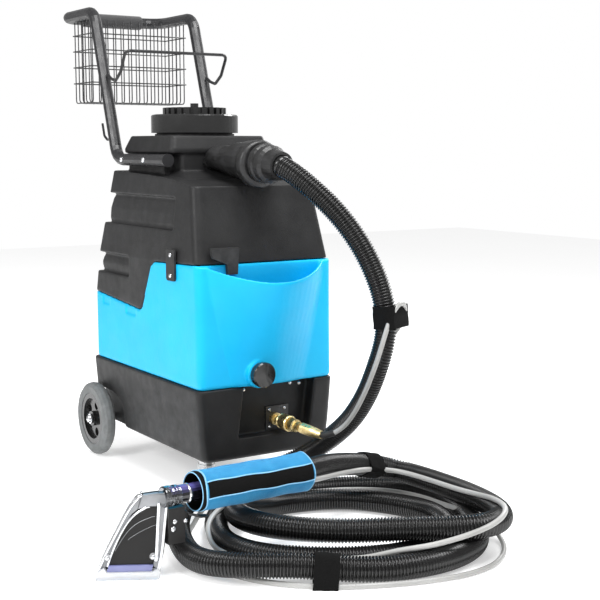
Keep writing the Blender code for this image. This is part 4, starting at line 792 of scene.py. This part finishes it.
def make_tool():
    window = [(-0.0990, 0.0240), (-0.0907, 0.0516), (-0.0673, 0.0980), (-0.0548, 0.1175), (-0.0443, 0.1263)]
    window += [(-0.0235, 0.1312), (-0.0105, 0.1309), (-0.0129, 0.0877), (-0.0144, 0.0461), (-0.0200, 0.0240)]
    outer = [(-0.1150, 0.0160), (-0.1045, 0.0437), (-0.0955, 0.0598), (-0.0794, 0.0901), (-0.0632, 0.1221)]
    outer += [(-0.0560, 0.1375), (-0.0490, 0.1462), (-0.0368, 0.1512), (-0.0143, 0.1540), (0.0030, 0.1550)]
    right = [(0.0085, 0.1420), (0.0085, 0.1295), (0.0023, 0.1062), (-0.0018, 0.0611)]
    right += [(-0.0057, 0.0340), (-0.0110, 0.0150)]
    back = head_slab("tool_head_body", outer + right, -0.0150, -0.0040, "smoked", 0.003)
    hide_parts("tool_head")
    head_slab("tool_head_window", window, -0.0060, 0.0025, "smoked", 0.002)
    left_wall = outer[:8] + [window[4], window[3], window[2], window[1], window[0]]
    head_slab("tool_wall_left", left_wall, -0.0060, 0.0040, "clear_edge", 0.0015)
    top_wall = outer[7:] + right[:2] + [window[6], window[5], window[4]]
    head_slab("tool_wall_top", top_wall, -0.0060, 0.0070, "clear_edge", 0.0025)
    right_wall = right[1:] + [window[9], window[8], window[7], window[6]]
    head_slab("tool_wall_right", right_wall, -0.0060, 0.0050, "clear_edge", 0.0015)
    head_bar("tool_rim_outer", outer[:8], 0.0030, 0.0050, "chrome")
    head_bar("tool_rim_back", outer[:8], 0.0030, -0.0120, "chrome")
    head_bar("tool_rim_inner", window[:6], 0.0022, 0.0050, "chrome")
    inner_bar = [(-0.0075, 0.1380), (-0.0085, 0.1200), (-0.0108, 0.0877), (-0.0125, 0.0461)]
    inner_bar += [(-0.0150, 0.0330)]
    head_bar("tool_bar_inner", inner_bar, 0.0034, 0.0065, "chrome")
    head_bar("tool_bar_outer", [(0.0060, 0.1330)] + right[2:], 0.0034, 0.0035, "chrome")
    # Thin ridges on the window in the paler clear_edge finish: painted highlights across the dark window.
    flow = [(-0.0855, 0.0514), (-0.0622, 0.0907), (-0.0447, 0.1047), (-0.0272, 0.1106), (-0.0150, 0.1122)]
    head_bar("tool_ridge_painted_highlight", flow, 0.0006, 0.0026, "clear_edge")
    head_bar(
        "tool_flow_line_low", [(-0.0626, 0.0708), (-0.0415, 0.0884), (-0.0136, 0.0968)], 0.0004, 0.0026,
        "clear_edge",
    )
    strip = [(-0.1010, 0.0140), (-0.0220, 0.0140), (-0.0190, 0.0260), (-0.0960, 0.0260)]
    head_slab("tool_blue_strip", strip, -0.0125, 0.0068, "tint_blue", 0.0010)
    lip = [(-0.1200, 0.0005), (-0.0080, 0.0005), (-0.0060, 0.0150), (-0.0110, 0.0200), (-0.0200, 0.0145)]
    lip += [(-0.1000, 0.0145), (-0.1050, 0.0230), (-0.1160, 0.0160)]
    head_slab("tool_lip", lip, -0.0150, 0.0120, "frosted", 0.0020)
    for label, along in (("left", -0.0990), ("right", -0.0195)):
        place = head_point(along, 0.0410, 0.0070)
        facing = head_point(0, 0, 1) - head_point(0, 0, 0)
        post = [(0.0, -0.016), (0.0052, -0.016), (0.0060, 0.0), (0.0048, 0.0025), (0.0, 0.0025)]
        finished(turned_piece("tool_post_" + label, post, place, facing, 20), "frosted")
        screw_head("tool_screw_" + label, place + facing * 0.0025, facing, 0.0040)
    start, axis = tool_axis()
    rings = [(0.0166, -0.010), (0.0188, -0.008), (0.0192, 0.004), (0.0176, 0.006)]
    rings += [(0.0176, 0.010), (0.0186, 0.012), (0.0182, 0.018), (0.0167, 0.022)]
    finished(turned_piece("tool_ferrule", rings, start, axis, 36), "clear")
    bands = [(0.0166, 0.002), (0.0178, 0.003), (0.0178, 0.005), (0.0166, 0.006)]
    finished(turned_piece("tool_band", bands, start + axis * 0.034, axis, 36), "chrome")
    low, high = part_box("tool_valve")
    front = Vector((0, low[1], 0))
    for k, (x, z, radius) in enumerate(((0.30, 0.62, 0.0046), (0.22, 0.42, 0.0050), (0.80, 0.60, 0.0042))):
        place = Vector((low[0] + (high[0] - low[0]) * x, 0, low[2] + (high[2] - low[2]) * z)) + front
        screw_head("valve_screw_%d" % k, place, (0, -1, 0), radius)


def tool_axis():
    start = Vector((WRAP_START[0], FRONT + WRAP_START[1], WRAP_START[2]))
    axis = (Vector((WRAP_END[0], FRONT + WRAP_END[1], WRAP_END[2])) - start).normalized()
    return start - axis * 0.062, axis


def wrap_point(angle, along, out):
    """A point round the wrap: angle up from the front, along from its left end."""
    start = Vector((WRAP_START[0], FRONT + WRAP_START[1], WRAP_START[2]))
    axis = (Vector((WRAP_END[0], FRONT + WRAP_END[1], WRAP_END[2])) - start).normalized()
    up = (Vector((0, 0, 1)) - axis * axis.z).normalized()
    front = axis.cross(up)
    return start + axis * along + (front * math.cos(angle) + up * math.sin(angle)) * out


def wrap_radius(angle, share):
    """The wrap's outer radius: it puckers along its length and flares a little at its right end."""
    pucker = 0.0005 * math.sin(9 * share + 2 * angle) + 0.0004 * math.sin(23 * share + angle)
    flare = 0.0060 * max(0.0, share - 0.75) * (1 + math.cos(angle - 0.9)) - 0.0012 * share
    return WRAP_RADIUS - 0.0012 + pucker + flare


def make_wrap():
    rows, sides = 60, 72
    shape = bmesh.new()
    rings = []
    for thick, order in ((0.0, range(rows + 1)), (0.0030, range(rows, -1, -1))):
        for row in order:
            share = row / rows
            ring = []
            for i in range(sides):
                angle = FULL_TURN * i / sides
                ragged = 0.0018 * math.sin(3 * angle + 1) * (2 * share - 1)
                along = WRAP_LENGTH * share + ragged
                ring.append(shape.verts.new(wrap_point(angle, along, wrap_radius(angle, share) - thick)))
            rings.append(ring)
    join_rings(shape, rings)
    sleeve = finished(object_from("tool_wrap_sleeve", shape, True), "neoprene", MACHINE)
    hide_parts("tool_wrap")
    lining = bmesh.new()
    rings = []
    for out, along in LINING_PROFILE:
        ring = [wrap_point(FULL_TURN * i / sides, along, out) for i in range(sides)]
        rings.append([lining.verts.new(p) for p in ring])
    join_rings(lining, rings)
    finished(object_from("tool_wrap_lining", lining, True), "loop_tape")
    low, high = STRAP_ANGLES
    band = bmesh.new()
    strips = []
    for thick, turns in ((0.0016, range(9)), (0.0002, range(8, -1, -1))):
        for k in turns:
            angle = low + (high - low) * k / 8
            strip = []
            for row in range(rows + 1):
                share = 0.004 + 0.990 * row / rows
                strip.append(
                    band.verts.new(wrap_point(angle, WRAP_LENGTH * share, wrap_radius(angle, share) + thick)),
                )
            strips.append(strip)
    for first, second in zip(strips, strips[1:] + strips[:1]):
        for a, b, c, d in zip(first, first[1:], second[1:], second):
            band.faces.new((a, b, c, d))
    band.faces.new([strip[0] for strip in strips])
    band.faces.new([strip[-1] for strip in strips[::-1]])
    finished(object_from("tool_wrap_strap", band, True), "loop_tape")
    for label, angle in (("high", high), ("low", low)):
        route = []
        for row in range(rows + 1):
            share = row / rows
            wavy = angle + 0.030 * math.sin(7 * share) + 0.018 * math.sin(19 * share)
            route.append(wrap_point(wavy, WRAP_LENGTH * share, wrap_radius(wavy, share) + 0.0010))
        finished(tube("tool_wrap_piping_" + label, route, 0.0014, 8), "piping")
    for label, share, reach in (("left", 0.0, -0.001), ("right", 1.0, 0.001)):
        route = []
        for i in range(sides + 1):
            angle = FULL_TURN * i / sides
            ragged = 0.0018 * math.sin(3 * angle + 1) * (2 * share - 1)
            out = wrap_radius(angle, share) - 0.0010
            route.append(wrap_point(angle, WRAP_LENGTH * share + ragged + reach, out))
        finished(tube("tool_wrap_piping_" + label, route, 0.0015, 8), "piping")


def make_lining_seam():
    """The pale thread round the lining's lip."""
    out, along = LINING_PROFILE[0]
    ring = [wrap_point(FULL_TURN * i / 48, along, out - 0.0015) for i in range(49)]
    finished(tube("tool_wrap_seam", ring, 0.0011, 8), "piping")


def join_rings(shape, rings):
    """Faces between each ring and the next, and between the last and the first."""
    for first, second in zip(rings, rings[1:] + rings[:1]):
        count = len(first)
        for i in range(count):
            j = (i + 1) % count
            shape.faces.new((first[i], first[j], second[j], second[i]))


# ---------------------------------------------------------------- basket

def rounded(points, radius, steps=5):
    """A route with its corners cut to short arcs."""
    route = [Vector(points[0])]
    for before, corner, after in zip(points, points[1:], points[2:]):
        before, corner, after = Vector(before), Vector(corner), Vector(after)
        first = corner + (before - corner).normalized() * radius
        last = corner + (after - corner).normalized() * radius
        for k in range(steps + 1):
            t = k / steps
            route.append(first * (1 - t) ** 2 + corner * 2 * t * (1 - t) + last * t ** 2)
    route.append(Vector(points[-1]))
    return [tuple(p) for p in route]


def wires(name, paths, radius, sides=8):
    """Several wires as one piece."""
    joined = bmesh.new()
    for path in paths:
        obj = tube(name + "_wire", path, radius, sides)
        joined.from_mesh(obj.data)
        bpy.data.meshes.remove(obj.data)
    mesh = bpy.data.meshes.new(name)
    joined.to_mesh(mesh)
    joined.free()
    mesh.shade_smooth()
    obj = bpy.data.objects.new(name, mesh)
    bpy.context.scene.collection.objects.link(obj)
    return obj


def make_basket():
    (low_x, low_y, low_z), (high_x, high_y, high_z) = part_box("basket_front")
    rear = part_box("basket_rear")[1][1] - WIRE_RADIUS
    front = low_y + WIRE_RADIUS
    left, right = low_x + WIRE_RADIUS, high_x - WIRE_RADIUS
    floor, top = low_z + WIRE_RADIUS, high_z
    paths = []
    for k in range(HOOPS_ACROSS):
        x = left + (right - left) * k / (HOOPS_ACROSS - 1)
        corners = [(x, front, top), (x, front, floor), (x, rear, floor), (x, rear, top)]
        paths.append(rounded(corners, HOOP_CORNER))
    for k in range(1, HOOPS_DEEP - 1):
        y = front + (rear - front) * k / (HOOPS_DEEP - 1)
        corners = [(left, y, top), (left, y, floor), (right, y, floor), (right, y, top)]
        paths.append(rounded(corners, HOOP_CORNER))
    reach = 2.0 * WIRE_RADIUS
    for height in RING_HEIGHTS:
        paths.append(
            [(left - RING_PROUD, front - reach, height), (right + RING_PROUD, front - reach, height)],
        )
        paths.append([(left - RING_PROUD, rear + reach, height), (right + RING_PROUD, rear + reach, height)])
        paths.append([(left - reach, front - RING_PROUD, height), (left - reach, rear + RING_PROUD, height)])
        paths.append(
            [(right + reach, front - RING_PROUD, height), (right + reach, rear + RING_PROUD, height)],
        )
    basket = wires("basket_wires", paths, WIRE_RADIUS)
    finished(basket, "powder_coat", MACHINE)
    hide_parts("basket_front", "basket_rear", "basket_left", "basket_right", "basket_floor")


# ---------------------------------------------------------------- screws

def make_screws():
    for side, sign in (("left", -1), ("right", 1)):
        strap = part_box("strap_" + side)[1 if sign > 0 else 0][0]
        for k, y in enumerate(ARM_SCREWS):
            place = (sign * ARM_SIDE, FRONT + y, ARM_HEIGHT)
            screw_head("arm_screw_%s_%d" % (side, k), place, (sign, 0, 0), ARM_SCREW_RADIUS)
        for k, (y, z) in enumerate(STRAP_SCREWS):
            screw_head("strap_screw_%s_%d" % (side, k), (strap, FRONT + y, z), (sign, 0, 0), SCREW_RADIUS)
    low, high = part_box("fitting_plate")
    for k, (x, z) in enumerate(PLATE_SCREWS):
        place = (low[0] + (high[0] - low[0]) * x, low[1], low[2] + (high[2] - low[2]) * z)
        screw_head("plate_screw_%d" % k, place, (0, -1, 0), PLATE_SCREW_RADIUS)
    for k, (x, z) in enumerate(RECESS_SCREWS):
        screw_head("recess_screw_%d" % k, (x, FRONT + RECESS_DEPTH, z), (0, -1, 0), SCREW_RADIUS)


# ---------------------------------------------------------------- the scene

finish_nodes()
soften("recovery_tank", 0.0026, 4)
soften("solution_tank", 0.0026, 5)
soften("base_pan", 0.0028, 5)
soften("hose_port", 0.0018, 8)
make_camera()
make_studio()
make_hoses()
make_tool()
make_wrap()
make_lining_seam()
make_basket()
make_screws()
